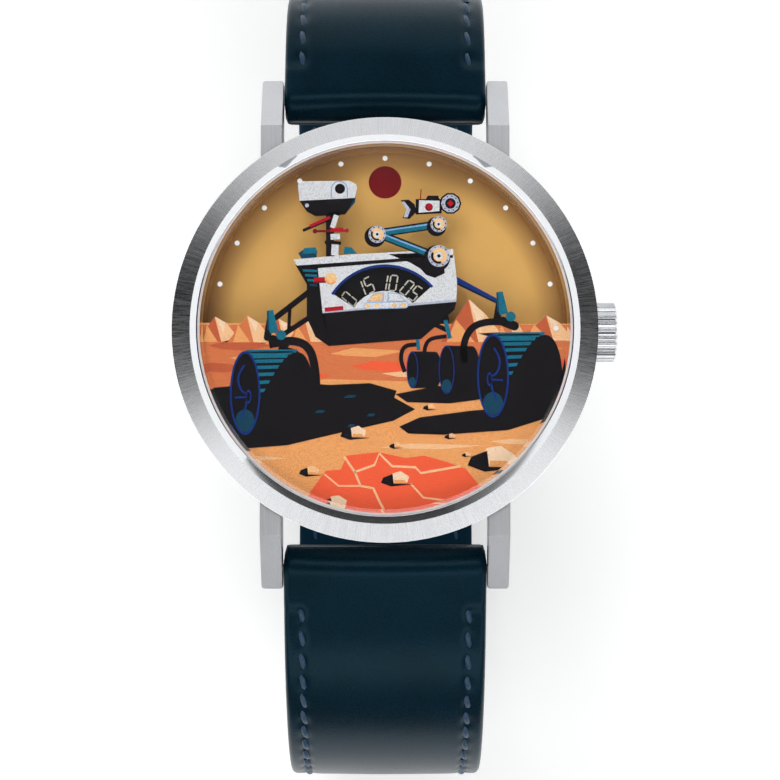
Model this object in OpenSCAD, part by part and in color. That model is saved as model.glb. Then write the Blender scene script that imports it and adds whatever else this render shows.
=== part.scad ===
// A round steel wristwatch on a leather strap, buckled shut.
// The watch stands on its buckle and keepers with the dial level.
// +X points to the crown, +Y to twelve o'clock and +Z out of the dial.
// The origin is the centre of the case back's outer face.

/* [Case] */
// Diameter of the bezel's outer edge
bezel_d = 37; // [32:0.2:44.6]
// Plan width of the brushed slope of the bezel
slope_w = 1.62; // [1.2:0.05:2]
// Rise of the brushed slope
slope_rise = 0.85; // [0.4:0.05:1.2]
// Plan width of the polished step inside the brushed slope
step_w = 0.68; // [0.5:0.02:0.85]
// Rise of the polished step
step_rise = 0.85; // [0.6:0.05:1.2]
// Height of the bezel's upright outer edge
edge_h = 0.5; // [0.3:0.05:0.8]
// Height of the case middle, between case back and bezel
case_h = 5.4; // [4.8:0.1:7]
// Thickness of the case back's flange
back_t = 0.8; // [0.6:0.05:1.2]

/* [Lugs] */
// Gap between a pair of lugs, where the strap sits
lug_gap = 18; // [16:0.2:21.6]
// Thickness of one lug along the spring bar
lug_w = 1.85; // [1.5:0.05:2.4]
// Distance from the bezel's edge to a lug's tip
lug_out = 4; // [3:0.05:5]
// Radius of the middle part of a spring bar
bar_r = 0.75; // [0.6:0.05:0.9]

/* [Dial] */
// Thickness of a rotating disc
disc_t = 0.25; // [0.2:0.05:0.35]
// Radius of the minute disc
minute_r = 5.6; // [4.8:0.1:6]
// Thickness of the printed scene under the crystal
print_t = 0.1; // [0.08:0.01:0.15]
// Depth from the printed scene down to the turning disc behind it
scene_depth = 2.1; // [1.8:0.1:2.4]
// Thickness of the crystal at its edge
crystal_t = 1.5; // [1.3:0.05:2]
// How far the crystal domes above its edge
dome_h = 0.4; // [0.2:0.05:0.8]

/* [Crown] */
// Diameter of the crown
crown_d = 5.2; // [4:0.1:5.2]
// Length of the crown along its axis
crown_l = 2.15; // [1.4:0.05:3]
// Number of flutes round the crown
crown_flutes = 26; // [18:1:32]
// Radius of the winding stem
stem_r = 0.55; // [0.4:0.05:0.6]
// How far the crown pulls out to set the discs
crown_travel = 1; // [0.6:0.1:1.2]

/* [Strap] */
// Width of the strap away from the lugs
strap_w = 17.4; // [14:0.2:17.6]
// Thickness of the padded strap at the lugs
pad_t = 4.2; // [3.5:0.1:5.1]
// Thickness of the buckle half where it is thin
short_t = 2.5; // [2.1:0.1:3]
// Thickness of the holed half where it is thin
long_t = 1.9; // [1.6:0.1:2.3]
// Length of the holed half from its spring bar to its tip
long_l = 118; // [110:1:122]
// Distance between adjusting holes
hole_pitch = 6.5; // [5:0.5:7.5]
// Number of adjusting holes
hole_count = 7; // [5:1:8]
// Radius of an adjusting hole
hole_r = 1.2; // [1.2:0.05:1.45]

/* [Loop] */
// Reach of the strap's middle layer past the spring bar at twelve
out_12 = 10.1; // [9.2:0.05:13.4]
// Reach of the strap's middle layer past the spring bar at six
out_6 = 18.5; // [13:0.05:20.3]
// Depth of the strap's middle layer at the buckle under the case back
loop_depth = 36.7; // [31:0.1:46]

/* [Buckle] */
// Place of the buckle's bar, from the dial's axis towards six
bar_back = 4.5; // [3.5:0.5:6]
// Distance from the buckle's bar to the middle of its front rail
buckle_l = 8.5; // [7.5:0.5:10.5]
// Length of a keeper along the strap
keeper_l = 4.5; // [3.5:0.5:5.5]
// Wall thickness of a keeper
keeper_t = 0.9; // [0.7:0.05:1.2]

/* [Hidden] */
$fn = 96;
nothing = 0.01;         // overshoot of a cut past a face

// Case stack, measured up from the case back's outer face
case_z = back_t;
bezel_z = case_z + case_h;
bezel_r = bezel_d / 2;
step_r = bezel_r - slope_w;         // where slope and polished step meet
mouth_r = step_r - step_w;          // inside of the bezel
bezel_top = bezel_z + edge_h + slope_rise + step_rise;
case_r = bezel_r - 0.75;
gasket_t = 0.2;
slip = 0.02;                        // clearance of pressed rings
crystal_r = mouth_r - gasket_t - slip;
crystal_z = bezel_top - crystal_t + 0.1;
print_z = crystal_z - print_t;
flange_r = mouth_r - 0.1;
flange_in_r = flange_r - 0.65;
disc_gap = 0.1;                     // running gap above a disc
flange_z = print_z - scene_depth + disc_gap;
hour_z = flange_z - disc_gap - disc_t;
hour_r = flange_in_r + 0.1;
minute_z = print_z - 0.85 - disc_t;

// Case middle bores
back_bore_r = flange_in_r - 1.5;
disc_bore_r = hour_r + 0.15;
flange_bore_r = flange_r + 0.1;

// Movement
plug_h = 0.5;                       // case back's plug inside the case
move_r = back_bore_r - 1;
move_z = case_z + plug_h;
move_top = hour_z - 0.25;
hour_post_r = 0.9;
minute_post_r = 0.5;
post_play = 0.05;

// Crown and stem
crown_r = crown_d / 2;
crown_z = bezel_z - 0.35 - crown_r;
tube_r = 2 * stem_r + 0.1;
crown_gap = 0.4;                    // from the case's side to the crown
crown_x = case_r + crown_gap;
stem_play = 0.05;
stem_in = crown_travel + 0.2;       // how deep the stem sits in the movement
flute_depth = 0.22;
crown_chamfer = 0.25;

// Spring bars and lugs
tip_r = 0.4;                        // spring bar's sprung ends
tip_play = 0.05;
tip_l = 0.9;
lug_bend_y = bezel_r - 0.6;
lug_tip_y = bezel_r + lug_out;
lug_top_z = bezel_z - 0.2;
roll_r = pad_t / 2;
bar_y = case_r + 0.85 + roll_r;
bar_z = lug_top_z - 4.2;
lug_end_z = bar_z + 0.1;
lug_foot_z = bar_z - 1.6;

// Strap
strap_play = 0.1;
pad_w = lug_gap - 2 * strap_play;
taper_l = 42;                       // the strap reaches its narrow width here
thin_l = 30;                        // and its thin section here
layer_gap = 0.1;                    // between the two halves where they lap
lap = short_t / 2 + layer_gap + long_t / 2;
ramp_l = 18;                        // the holed half climbs on to the buckle half over this

// Loop of the strap's middle layer, as [length, turn] from six round to twelve
lean = 20;                          // slope of the strap where it leaves the lugs
straight_6 = 5;
straight_12 = 3.5;
belly_6 = 25;
belly_12 = 22;
corner_r = 15;
reach_6 = bar_y + out_6;
reach_12 = bar_y + out_12;
function shoulder_r(reach, straight) = (reach - bar_y - straight * cos(lean)) / (1 - sin(lean));
function shoulder_z(reach, straight) =
    bar_z - straight * sin(lean) - shoulder_r(reach, straight) * cos(lean);
function belly_r(reach, straight, belly) =
    (shoulder_z(reach, straight) + loop_depth - corner_r * (1 - sin(belly))) / sin(belly);
function flat_y(reach, straight, belly) =
    reach - belly_r(reach, straight, belly) * (1 - cos(belly)) - corner_r * cos(belly);
function arc(r, turn) = [r * turn * PI / 180, turn];
flat_6 = flat_y(reach_6, straight_6, belly_6);
flat_12 = flat_y(reach_12, straight_12, belly_12);
LOOP = [
    [straight_6, 0],
    arc(shoulder_r(reach_6, straight_6), 90 - lean),
    arc(belly_r(reach_6, straight_6, belly_6), belly_6),
    arc(corner_r, 90 - belly_6),
    [flat_6 + flat_12, 0],
    arc(corner_r, 90 - belly_12),
    arc(belly_r(reach_12, straight_12, belly_12), belly_12),
    arc(shoulder_r(reach_12, straight_12), 90 - lean),
    [straight_12, 0],
];
function total(list, i = 0) = i == len(list) ? 0 : list[i][0] + total(list, i + 1);
loop_l = total(LOOP);
function walk(p, h, l, turn) =
    turn == 0 ? p + l * [cos(h), sin(h)]
    : p + l * 180 / (PI * turn) * [sin(h + turn) - sin(h), cos(h) - cos(h + turn)];
// Place [y, z] and heading on the loop after a length s
function on_loop(s, i = 0, p = [-bar_y, bar_z], h = 180 + lean) =
    s <= LOOP[i][0] || i == len(LOOP) - 1
    ? let (share = s / LOOP[i][0]) [walk(p, h, s, LOOP[i][1] * share), h + LOOP[i][1] * share]
    : on_loop(s - LOOP[i][0], i + 1, walk(p, h, LOOP[i][0], LOOP[i][1]), h + LOOP[i][1]);
function outward(h) = [sin(h), -cos(h)];
function smooth(t) = let (u = max(0, min(1, t))) u * u * (3 - 2 * u);

// Buckle, on the level stretch of the loop
rail_t = 1.75;
buckle_y = -bar_back;
floor_n = lap + long_t / 2 + layer_gap + keeper_t;      // lowest face, below the middle layer
level_z = -loop_depth;
buckle_s = total([for (i = [0:3]) LOOP[i]]) + flat_6 - bar_back;
tongue_w = 1.4;
tongue_t = 0.85;
tongue_ring_r = 1.15;
buckle_pin_r = 0.6;
arm_t = 1.5;
arm_gap = 0.3;
rail_w = 2;
hole_u = 2.1;                                           // tongue's hole, ahead of the bar
fixed_keeper_y = buckle_y + 6.5;
free_keeper_y = fixed_keeper_y + keeper_l + 2.2;

module turned(points) rotate_extrude() polygon(points);

// Extrudes an outline drawn in [y, z] along X, centred on x
module along_x(x, width) translate([x - width / 2, 0, 0]) rotate([90, 0, 90]) linear_extrude(width) children();

module rod_x(x, l, r, y = 0, z = 0) translate([x, y, z]) rotate([0, 90, 0]) cylinder(h = l, r = r);

function arc_points(c, r, a0, a1, steps) =
    [for (i = [0:steps]) let (a = a0 + (a1 - a0) * i / steps) c + r * [cos(a), sin(a)]];

function round_box(x0, x1, z0, z1, r, steps = 6) = concat(
    arc_points([x1 - r, z1 - r], r, 0, 90, steps), arc_points([x0 + r, z1 - r], r, 90, 180, steps),
    arc_points([x0 + r, z0 + r], r, 180, 270, steps), arc_points([x1 - r, z0 + r], r, 270, 360, steps));

// One lug in side view, at twelve
module lug_outline() {
    tip = 0.35;
    polygon(concat(
        [[step_r - 6, lug_top_z], [lug_bend_y, lug_top_z]],
        arc_points([lug_tip_y - tip, lug_end_z], tip, 40, 0, 4),
        arc_points([lug_tip_y - 0.8, lug_foot_z + 0.8], 0.8, 0, -80, 5),
        [[lug_bend_y - 0.6, case_z - 0.2], [case_r - 2.5, case_z], [step_r - 6, case_z]]));
}

// One lug, its tip rounded in plan, beside the twelve o'clock strap
module lug(side) intersection() {
    along_x(side * (lug_gap + lug_w) / 2, lug_w) lug_outline();
    linear_extrude(2 * bezel_z) translate([side * (lug_gap + lug_w) / 2, lug_tip_y - 12])
        polygon(round_box(-lug_w / 2, lug_w / 2, 0, 12, 0.3));
}

module case_middle() color("silver") difference() {
    union() {
        turned([[back_bore_r, case_z], [case_r - 0.7, case_z], [case_r, case_z + 0.7],
                [case_r, bezel_z], [back_bore_r, bezel_z]]);
        for (side = [0, 180]) rotate([0, 0, side])
            for (x = [-1, 1]) lug(x);
    }
    translate([0, 0, case_z - 2]) cylinder(h = case_h + 4, r = back_bore_r);
    translate([0, 0, move_top]) cylinder(h = case_h + 4, r = disc_bore_r);
    translate([0, 0, flange_z]) cylinder(h = case_h + 4, r = flange_bore_r);
    rod_x(back_bore_r - 1, 6, tube_r + slip, 0, crown_z);
    for (y = [-bar_y, bar_y])
        rod_x(-lug_gap / 2 - tip_l, lug_gap + 2 * tip_l, tip_r + tip_play, y, bar_z);
}

module bezel() color("gainsboro") turned([
    [mouth_r, bezel_z], [bezel_r, bezel_z], [bezel_r, bezel_z + edge_h],
    [step_r, bezel_z + edge_h + slope_rise], [mouth_r + 0.08, bezel_top], [mouth_r, bezel_top - 0.06]]);

module case_back() color("silver") difference() {
    rim = back_bore_r + 1.6;
    turned([[0, 0], [rim - 1.2, 0], [rim, 0.5], [rim, back_t], [back_bore_r - slip, back_t],
            [back_bore_r - slip, move_z], [0, move_z]]);
    notch_w = 2;
    for (a = [0:60:300]) rotate([0, 0, a + 30])
        translate([rim - 1, -notch_w / 2, -nothing]) cube([3, notch_w, back_t - 0.3]);
}

module crystal() color("azure", 0.35) {
    dome_r = (pow(crystal_r - 0.3, 2) + pow(dome_h, 2)) / (2 * dome_h);
    top = crystal_z + crystal_t;
    spread = asin((crystal_r - 0.3) / dome_r);
    turned(concat([[0, crystal_z], [crystal_r, crystal_z], [crystal_r, top - 0.25]],
        arc_points([0, top + dome_h - dome_r], dome_r, 90 - spread, 90, 12)));
}

module crystal_gasket() color("whitesmoke") turned([
    [crystal_r + slip / 2, crystal_z + 0.1], [mouth_r - slip / 2, crystal_z + 0.1],
    [mouth_r - slip / 2, bezel_top - 0.15], [crystal_r + slip / 2, bezel_top - 0.2]]);

module flange_ring() color("peru") turned([
    [flange_in_r, flange_z], [flange_r, flange_z], [flange_r, print_z],
    [crystal_r - 0.25, print_z], [flange_in_r, flange_z + 0.5]]);

// Outline of the printed land: a horizon with hills, down to the crystal's edge
module land() intersection() {
    circle(r = crystal_r - 0.05);
    polygon([[-20, 0.9], [-14.7, 2], [-12.4, 0.2], [-10.2, 2.1], [-7.5, 1.4], [-5, 0.6], [5.5, 0.6],
             [7.4, 2.7], [9.6, 0.9], [11.6, 0.7], [13.9, 2.1], [20, 0.2], [20, -20], [-20, -20]]);
}

module bar_2d(a, b, w) {
    d = b - a;
    translate(a) rotate(atan2(d[1], d[0])) translate([0, -w / 2]) square([norm(d), w]);
}

// The printed rover above the land: body, mast with its camera head, and arm with its tool
module rover() {
    linear_extrude(print_t) polygon([[-6.9, 6.3], [5.9, 7], [6.5, -0.8], [-4.6, -2], [-5.6, 0.5]]);
    linear_extrude(print_t) bar_2d([-4.4, 6], [-4, 10.2], 1);
    linear_extrude(print_t)
        polygon([[-7.4, 13.2], [-2.6, 13.6], [-2.4, 11], [-3.4, 10], [-6, 9.8], [-7.2, 11.5]]);
    for (link = [[[4.2, 6.5], [-0.9, 8.6]], [[-0.9, 8.6], [4.1, 9.3]], [[4.1, 9.3], [4.1, 11]]])
        linear_extrude(print_t) bar_2d(link[0], link[1], 0.8);
    for (joint = [[4.2, 6.5, 1.3], [-0.9, 8.6, 0.95], [4.1, 9.3, 0.85]])
        translate([joint[0], joint[1], 0]) cylinder(h = print_t, r = joint[2]);
    translate([1.8, 10.6, 0]) cube([4.6, 1.6, print_t]);
}

// Fan window over the minute disc
module fan() {
    fan_r = minute_r - 0.25;
    fan_in_r = fan_r - 2.1;
    polygon(concat(arc_points([0, 0], fan_r, 32, 148, 24), arc_points([0, 0], fan_in_r, 148, 32, 24)));
}

module scene_print() color("sandybrown") translate([0, 0, print_z]) difference() {
    union() {
        linear_extrude(print_t) land();
        rover();
    }
    translate([0, 0, -1]) linear_extrude(print_t + 2) fan();
}

module hour_disc() color("goldenrod") translate([0, 0, hour_z]) difference() {
    cylinder(h = disc_t, r = hour_r);
    translate([0, 0, -1]) cylinder(h = 3, r = hour_post_r + post_play);
}

module minute_disc() color("black") translate([0, 0, minute_z]) difference() {
    cylinder(h = disc_t, r = minute_r);
    translate([0, 0, -1]) cylinder(h = 3, r = minute_post_r + post_play);
}

module movement() color("darkkhaki") difference() {
    union() {
        translate([0, 0, move_z]) cylinder(h = move_top - move_z, r = move_r);
        cylinder_on(move_top, minute_z - 0.1, hour_post_r);
        cylinder_on(move_top, minute_z + disc_t + 0.2, minute_post_r);
    }
    rod_x(move_r - stem_in - 0.2, 4, stem_r + stem_play, 0, crown_z);
}

module cylinder_on(z0, z1, r) translate([0, 0, z0]) cylinder(h = z1 - z0, r = r);

module crown_tube() color("silver") difference() {
    rod_x(back_bore_r + 0.2, crown_x - 0.15 - back_bore_r - 0.2, tube_r, 0, crown_z);
    rod_x(back_bore_r - 1, 9, stem_r + stem_play, 0, crown_z);
}

module crown_stem() color("gray")
    rod_x(move_r - stem_in, crown_x + 0.55 * crown_l - move_r + stem_in, stem_r, 0, crown_z);

module crown() color("silver") translate([crown_x, 0, crown_z]) rotate([0, 90, 0]) difference() {
    intersection() {
        steps = 10 * crown_flutes;
        linear_extrude(crown_l) polygon([for (i = [0:steps - 1]) let (a = 360 * i / steps)
            (crown_r - flute_depth * pow(abs(cos(a * crown_flutes / 2)), 6)) * [cos(a), sin(a)]]);
        turned([[0, 0], [crown_r - crown_chamfer, 0], [crown_r, crown_chamfer],
                [crown_r, crown_l - crown_chamfer], [crown_r - crown_chamfer, crown_l - 0.08],
                [crown_r - 2 * crown_chamfer, crown_l], [0, crown_l]]);
    }
    translate([0, 0, -nothing]) cylinder(h = 0.6 * crown_l, r = stem_r + stem_play);
}

module spring_bar(y) color("silver") {
    rod_x(-lug_gap / 2 + 0.1, lug_gap - 0.2, bar_r, y, bar_z);
    rod_x(-lug_gap / 2 - tip_l + 0.1, lug_gap + 2 * tip_l - 0.2, tip_r, y, bar_z);
}

// Strap width and thickness at a length s from the spring bar
function width_at(s) = pad_w + (strap_w - pad_w) * smooth(s / taper_l) - 0.7 * smooth(-s / roll_r - 0.2);
function thick_at(s, thin) =
    s < 0 ? 2 * sqrt(max(0, roll_r * roll_r - s * s)) : pad_t + (thin - pad_t) * smooth(s / thin_l);

// Outline of a strap's cross-section: half width w, half thickness t, in [x, out]
function strap_section(w, t) = let (e = min(0.45, 0.6 * t), crown = 0.16 * t) [
    [-w + e, -t], [w - e, -t], [w, -t + e], [w, t - crown - e], [w - e, t - crown],
    [w / 2, t - crown / 4], [0, t], [-w / 2, t - crown / 4], [-w + e, t - crown],
    [-w, t - crown - e], [-w, -t + e]];

// A ring of the sweep: station s on the loop, shifted outwards, with half width and half thickness
function ring(s, shift, w, t) = let (at = on_loop(s), n = outward(at[1]))
    [for (q = strap_section(w, t)) let (p = at[0] + (shift + q[1]) * n) [q[0], p[0], p[1]]];

module sweep(rings) {
    m = len(rings[0]);
    last = len(rings) - 1;
    polyhedron(
        points = [for (r = rings) each r],
        faces = concat(
            [[for (j = [0:m - 1]) j]],
            [[for (j = [m - 1:-1:0]) last * m + j]],
            [for (i = [0:last - 1]) for (j = [0:m - 1]) let (k = (j + 1) % m)
                each [[i * m + j, (i + 1) * m + j, (i + 1) * m + k], [i * m + j, (i + 1) * m + k, i * m + k]]]),
        convexity = 8);
}

// Stations of the round roll at the spring bar, then along the strap, then its end
roll_steps = [for (a = [10:16:90]) -roll_r * cos(a)];
function run_steps(from, to, count) = [for (i = [1:count]) from + (to - from) * i / count];

module strap_short() color("darkslategray") {
    own_l = loop_l - buckle_s;
    end_r = short_t / 2;
    stations = concat(roll_steps, run_steps(0, own_l, 44));
    rings = concat(
        [for (s = stations) ring(loop_l - s, 0, width_at(s) / 2, thick_at(s, short_t) / 2)],
        [for (a = [20:20:80]) ring(buckle_s - end_r * sin(a), 0, strap_w / 2, end_r * cos(a))]);
    difference() {
        sweep(rings);
        rod_x(-lug_gap, 2 * lug_gap, bar_r + 0.1, bar_y, bar_z);
        rod_x(-lug_gap, 2 * lug_gap, buckle_pin_r + 0.05, buckle_y, level_z);
        translate([-tongue_w / 2 - 0.3, buckle_y - 3, level_z - 3])
            cube([tongue_w + 0.6, 3 + tongue_ring_r + 0.25, 6]);
    }
}

// How far the holed half has climbed on to the buckle half at station s
function climb(s) = lap * smooth((s - buckle_s + ramp_l - 0.5) / ramp_l);

module strap_long() color("darkslategray") {
    point_l = 9;                                        // length of the rounded tip
    stations = concat(roll_steps, run_steps(0, long_l - point_l, 60));
    rings = concat(
        [for (s = stations) ring(s, climb(s), width_at(s) / 2, thick_at(s, long_t) / 2)],
        [for (a = [15:15:75]) ring(long_l - point_l + point_l * sin(a), lap,
            strap_w / 2 * cos(a), long_t / 2)]);
    difference() {
        sweep(rings);
        rod_x(-lug_gap, 2 * lug_gap, bar_r + 0.1, -bar_y, bar_z);
        for (i = [0:hole_count - 1]) {
            s = buckle_s - hole_u + (i - 2) * hole_pitch;
            at = on_loop(s);
            centre = at[0] + climb(s) * outward(at[1]);
            translate([0, centre[0], centre[1]]) rotate([at[1], 0, 0]) cylinder(h = 8, r = hole_r, center = true);
        }
    }
}

// Side outlines on the level stretch use u ahead of the buckle's bar and n outwards
module from_buckle() translate([0, buckle_y, level_z]) mirror([0, 1, 0]) mirror([0, 0, 1]) children();

arm_r = 1.35;
rail_u = buckle_l - rail_w / 2;

module buckle_arm(x) along_x(x, arm_t) polygon(concat(
    arc_points([0, 0], arm_r, 115, 280, 12),
    [[rail_u + 0.8, floor_n - rail_t]],
    arc_points([rail_u + rail_w - 0.3, floor_n - rail_t + 0.3], 0.3, -90, 0, 3),
    arc_points([rail_u + rail_w - 0.4, floor_n - 0.4], 0.4, 0, 90, 4),
    [[rail_u - 1, floor_n]]));

module buckle_frame() color("silver") from_buckle() difference() {
    span = strap_w + 2 * (arm_gap + arm_t);
    union() {
        for (side = [-1, 1]) buckle_arm(side * (span - arm_t) / 2);
        along_x(0, span) polygon(round_box(rail_u, rail_u + rail_w, floor_n - rail_t, floor_n, 0.4));
    }
    rod_x(-span / 2 + 0.4, span - 0.8, tip_r + tip_play);
    along_x(0, tongue_w + 0.3) polygon([[rail_u - 1, floor_n - 0.95], [rail_u + 3, floor_n - 0.95],
        [rail_u + 3, floor_n + 1], [rail_u - 1, floor_n + 1]]);
}

module buckle_bar() color("silver") from_buckle() {
    inner = strap_w + 2 * arm_gap;
    rod_x(-inner / 2 + 0.1, inner - 0.2, buckle_pin_r);
    rod_x(-inner / 2 - 0.9, inner + 1.8, tip_r);
}

module buckle_tongue() color("silver") from_buckle() difference() {
    top_n = floor_n - 0.05;
    union() {
        rod_x(-tongue_w / 2, tongue_w, tongue_ring_r);
        along_x(0, tongue_w) polygon([
            [0.5, 0.9], [1.25, 1.15], [1.7, top_n - 0.6], [2.2, top_n - 0.1], [2.8, top_n],
            [rail_u + rail_w + 0.4, top_n], [rail_u + rail_w + 0.4, top_n - 0.5],
            [rail_u + rail_w - 0.2, top_n - tongue_t], [3.2, top_n - tongue_t],
            [2.7, top_n - tongue_t - 0.3], [2.15, 1.15], [1.9, 0.3], [0.9, -0.2]]);
    }
    rod_x(-3, 6, buckle_pin_r + 0.05);
}

// A keeper round both halves of the strap, centred on y
module keeper(y) translate([0, y + keeper_l / 2, level_z]) rotate([90, 0, 0]) linear_extrude(keeper_l) {
    in_x = strap_w / 2 + 0.2;
    top = short_t / 2 + layer_gap;
    bottom = -(floor_n - keeper_t);
    difference() {
        polygon(round_box(-in_x - keeper_t, in_x + keeper_t, bottom - keeper_t, top + keeper_t, 0.8));
        polygon(round_box(-in_x, in_x, bottom, top, 0.35));
    }
}

module fixed_keeper() color("darkslategray") keeper(fixed_keeper_y);

module free_keeper() color("darkslategray") keeper(free_keeper_y);

case_middle();
bezel();
case_back();
crystal();
crystal_gasket();
flange_ring();
scene_print();
hour_disc();
minute_disc();
movement();
crown_tube();
crown_stem();
crown();
spring_bar(bar_y);  // spring_bar_12
spring_bar(-bar_y);  // spring_bar_6
strap_short();
strap_long();
buckle_frame();
buckle_bar();
buckle_tongue();
fixed_keeper();
free_keeper();
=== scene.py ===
import math
import random

import bmesh
import bpy
from mathutils import Matrix, Vector, noise
from mathutils.geometry import delaunay_2d_cdt


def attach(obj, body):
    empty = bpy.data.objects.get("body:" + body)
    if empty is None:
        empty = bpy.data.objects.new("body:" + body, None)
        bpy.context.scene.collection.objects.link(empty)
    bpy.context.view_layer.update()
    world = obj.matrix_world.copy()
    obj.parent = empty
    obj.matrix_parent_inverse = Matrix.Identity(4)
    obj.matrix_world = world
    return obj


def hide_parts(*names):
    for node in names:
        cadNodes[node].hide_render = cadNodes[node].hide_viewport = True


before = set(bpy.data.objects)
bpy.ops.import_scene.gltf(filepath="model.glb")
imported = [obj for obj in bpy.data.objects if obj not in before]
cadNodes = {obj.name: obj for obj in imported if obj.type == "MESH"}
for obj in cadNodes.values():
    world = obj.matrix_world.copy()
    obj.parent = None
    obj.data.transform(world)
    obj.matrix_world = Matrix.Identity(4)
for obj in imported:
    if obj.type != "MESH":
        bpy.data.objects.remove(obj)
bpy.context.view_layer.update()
mm = 0.001
print("frame loaded,", len(cadNodes), "nodes")


def addObject(name, data):
    made = bpy.data.objects.new(name, data)
    bpy.context.collection.objects.link(made)
    return made


# Camera, above the dial and a little towards six o'clock
cameraSetup = {"centre": (0.0, 0.0, 6.5), "distance": 250.0, "elevation": 85.2,
               "lens": 133.0, "aimRight": 0.43, "aimDown": 5.28,
               "sensor": 36.0}


def makeCamera(setup):
    tilt = math.radians(setup["elevation"])
    centre = Vector(setup["centre"]) * mm
    back = Vector((0, -math.cos(tilt), math.sin(tilt)))
    up = Vector((0, math.sin(tilt), math.cos(tilt)))
    aim = centre + Vector((setup["aimRight"] * mm, 0, 0)) - up * setup["aimDown"] * mm
    data = bpy.data.cameras.new("camera")
    data.lens = setup["lens"]
    data.sensor_width = setup["sensor"]
    data.clip_start = 0.01
    data.clip_end = 10
    camera = addObject("camera", data)
    camera.location = centre + Vector((setup["aimRight"] * mm, 0, 0)) + back * setup["distance"] * mm
    camera.rotation_mode = "QUATERNION"
    camera.rotation_quaternion = (aim - camera.location).to_track_quat("-Z", "Y")
    bpy.context.scene.camera = camera


makeCamera(cameraSetup)


# Colours are written as screen values from 0 to 255
def colour(red, green, blue):
    def linear(value):
        value /= 255
        return value / 12.92 if value <= 0.04045 else ((value + 0.055) / 1.055) ** 2.4
    return (linear(red), linear(green), linear(blue), 1.0)


# Puts a plain value into an input, or links a socket to it
def feed(tree, value, target):
    if isinstance(value, bpy.types.NodeSocket):
        tree.links.new(value, target)
    else:
        target.default_value = value


# Adds a node of any kind, with its settings and inputs
def growNode(tree, kind, inputs=None, **settings):
    made = tree.nodes.new(kind)
    for name, value in settings.items():
        setattr(made, name, value)
    for name, value in (inputs or {}).items():
        feed(tree, value, made.inputs[name])
    return made


def addNode(tree, kind, inputs=None, **settings):
    return growNode(tree, "ShaderNode" + kind, inputs, **settings)


def maths(tree, operation, *values):
    return addNode(tree, "Math", dict(enumerate(values)), operation=operation).outputs[0]


def newMaterial(name, inputs):
    material = bpy.data.materials.new(name)
    material.use_nodes = True
    shader = material.node_tree.nodes["Principled BSDF"]
    for socket, value in inputs.items():
        shader.inputs[socket].default_value = value
    return material, material.node_tree, shader


def link(tree, source, shader, socket):
    tree.links.new(source, shader.inputs[socket])


def objectPlace(tree):
    return addNode(tree, "TexCoord").outputs["Object"]


def stretched(tree, scale):
    return addNode(tree, "Mapping", {"Vector": objectPlace(tree), "Scale": scale}).outputs["Vector"]


def noiseAt(tree, vector, scale, detail=3.0, rough=0.6):
    return addNode(tree, "TexNoise", {"Vector": vector, "Scale": scale, "Detail": detail,
                                      "Roughness": rough}).outputs["Fac"]


# Noise at a scale per metre, or at one scale for each axis
def grainAt(tree, scale, detail=2.0, rough=0.6):
    return noiseAt(tree, stretched(tree, scale if isinstance(scale, tuple) else (scale,) * 3), 1.0, detail, rough)


def mapped(tree, value, low, high, fromLow=0.3, fromHigh=0.7):
    return addNode(tree, "MapRange", {"Value": value, "From Min": fromLow, "From Max": fromHigh, "To Min": low,
                                      "To Max": high}).outputs["Result"]


def mixColours(tree, factor, first, second, blend="MIX"):
    made = addNode(tree, "Mix", data_type="RGBA", blend_type=blend)
    for index, value in ((0, factor), (6, first), (7, second)):
        feed(tree, value, made.inputs[index])
    return made.outputs[2]


# Base colour between two tones, and roughness between two values, as noise has it
def paint(tree, shader, factor, first, second):
    link(tree, mixColours(tree, mapped(tree, factor, 0.0, 1.0), first, second), shader, "Base Color")


def gloss(tree, shader, factor, low, high):
    link(tree, mapped(tree, factor, low, high), shader, "Roughness")


# Bump, on edges that catch light as if rounded where an edge radius is given
def relief(tree, shader, height, strength, depth, edge=None):
    inputs = {"Strength": strength, "Distance": depth * mm, "Height": height}
    if edge:
        inputs["Normal"] = addNode(tree, "Bevel", {"Radius": edge * mm}, samples=4).outputs["Normal"]
    link(tree, addNode(tree, "Bump", inputs).outputs["Normal"], shader, "Normal")


# Vector away from the dial's axis, and its length
def fromAxis(tree):
    flat = addNode(tree, "VectorMath", {0: objectPlace(tree), 1: (1, 1, 0)}, operation="MULTIPLY").outputs["Vector"]
    return flat, addNode(tree, "VectorMath", {0: flat}, operation="LENGTH").outputs["Value"]


steel = {"polished": colour(226, 228, 231), "satin": colour(196, 198, 202), "streakWidth": 0.07,
         "streakLength": 5.0, "bump": 0.2, "slopeIn": 16.9, "slopeOut": 18.44}


# Steel brushed along +Y, on the lugs and the case's side
def brushedSteel():
    material, tree, shader = newMaterial("brushedSteel", {"Metallic": 0.85})
    width, length = steel["streakWidth"] * mm, steel["streakLength"] * mm
    streaks = grainAt(tree, (1 / width, 1 / length, 1 / width), 4.0, 0.65)
    cloud = grainAt(tree, (400, 120, 400))
    tone = mixColours(tree, mapped(tree, streaks, 0.0, 1.0), colour(204, 206, 210), steel["polished"])
    link(tree, mixColours(tree, mapped(tree, cloud, 0.0, 0.25), tone, steel["satin"]), shader, "Base Color")
    gloss(tree, shader, streaks, 0.38, 0.5)
    relief(tree, shader, streaks, steel["bump"], 0.012, 0.09)
    return material


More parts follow.
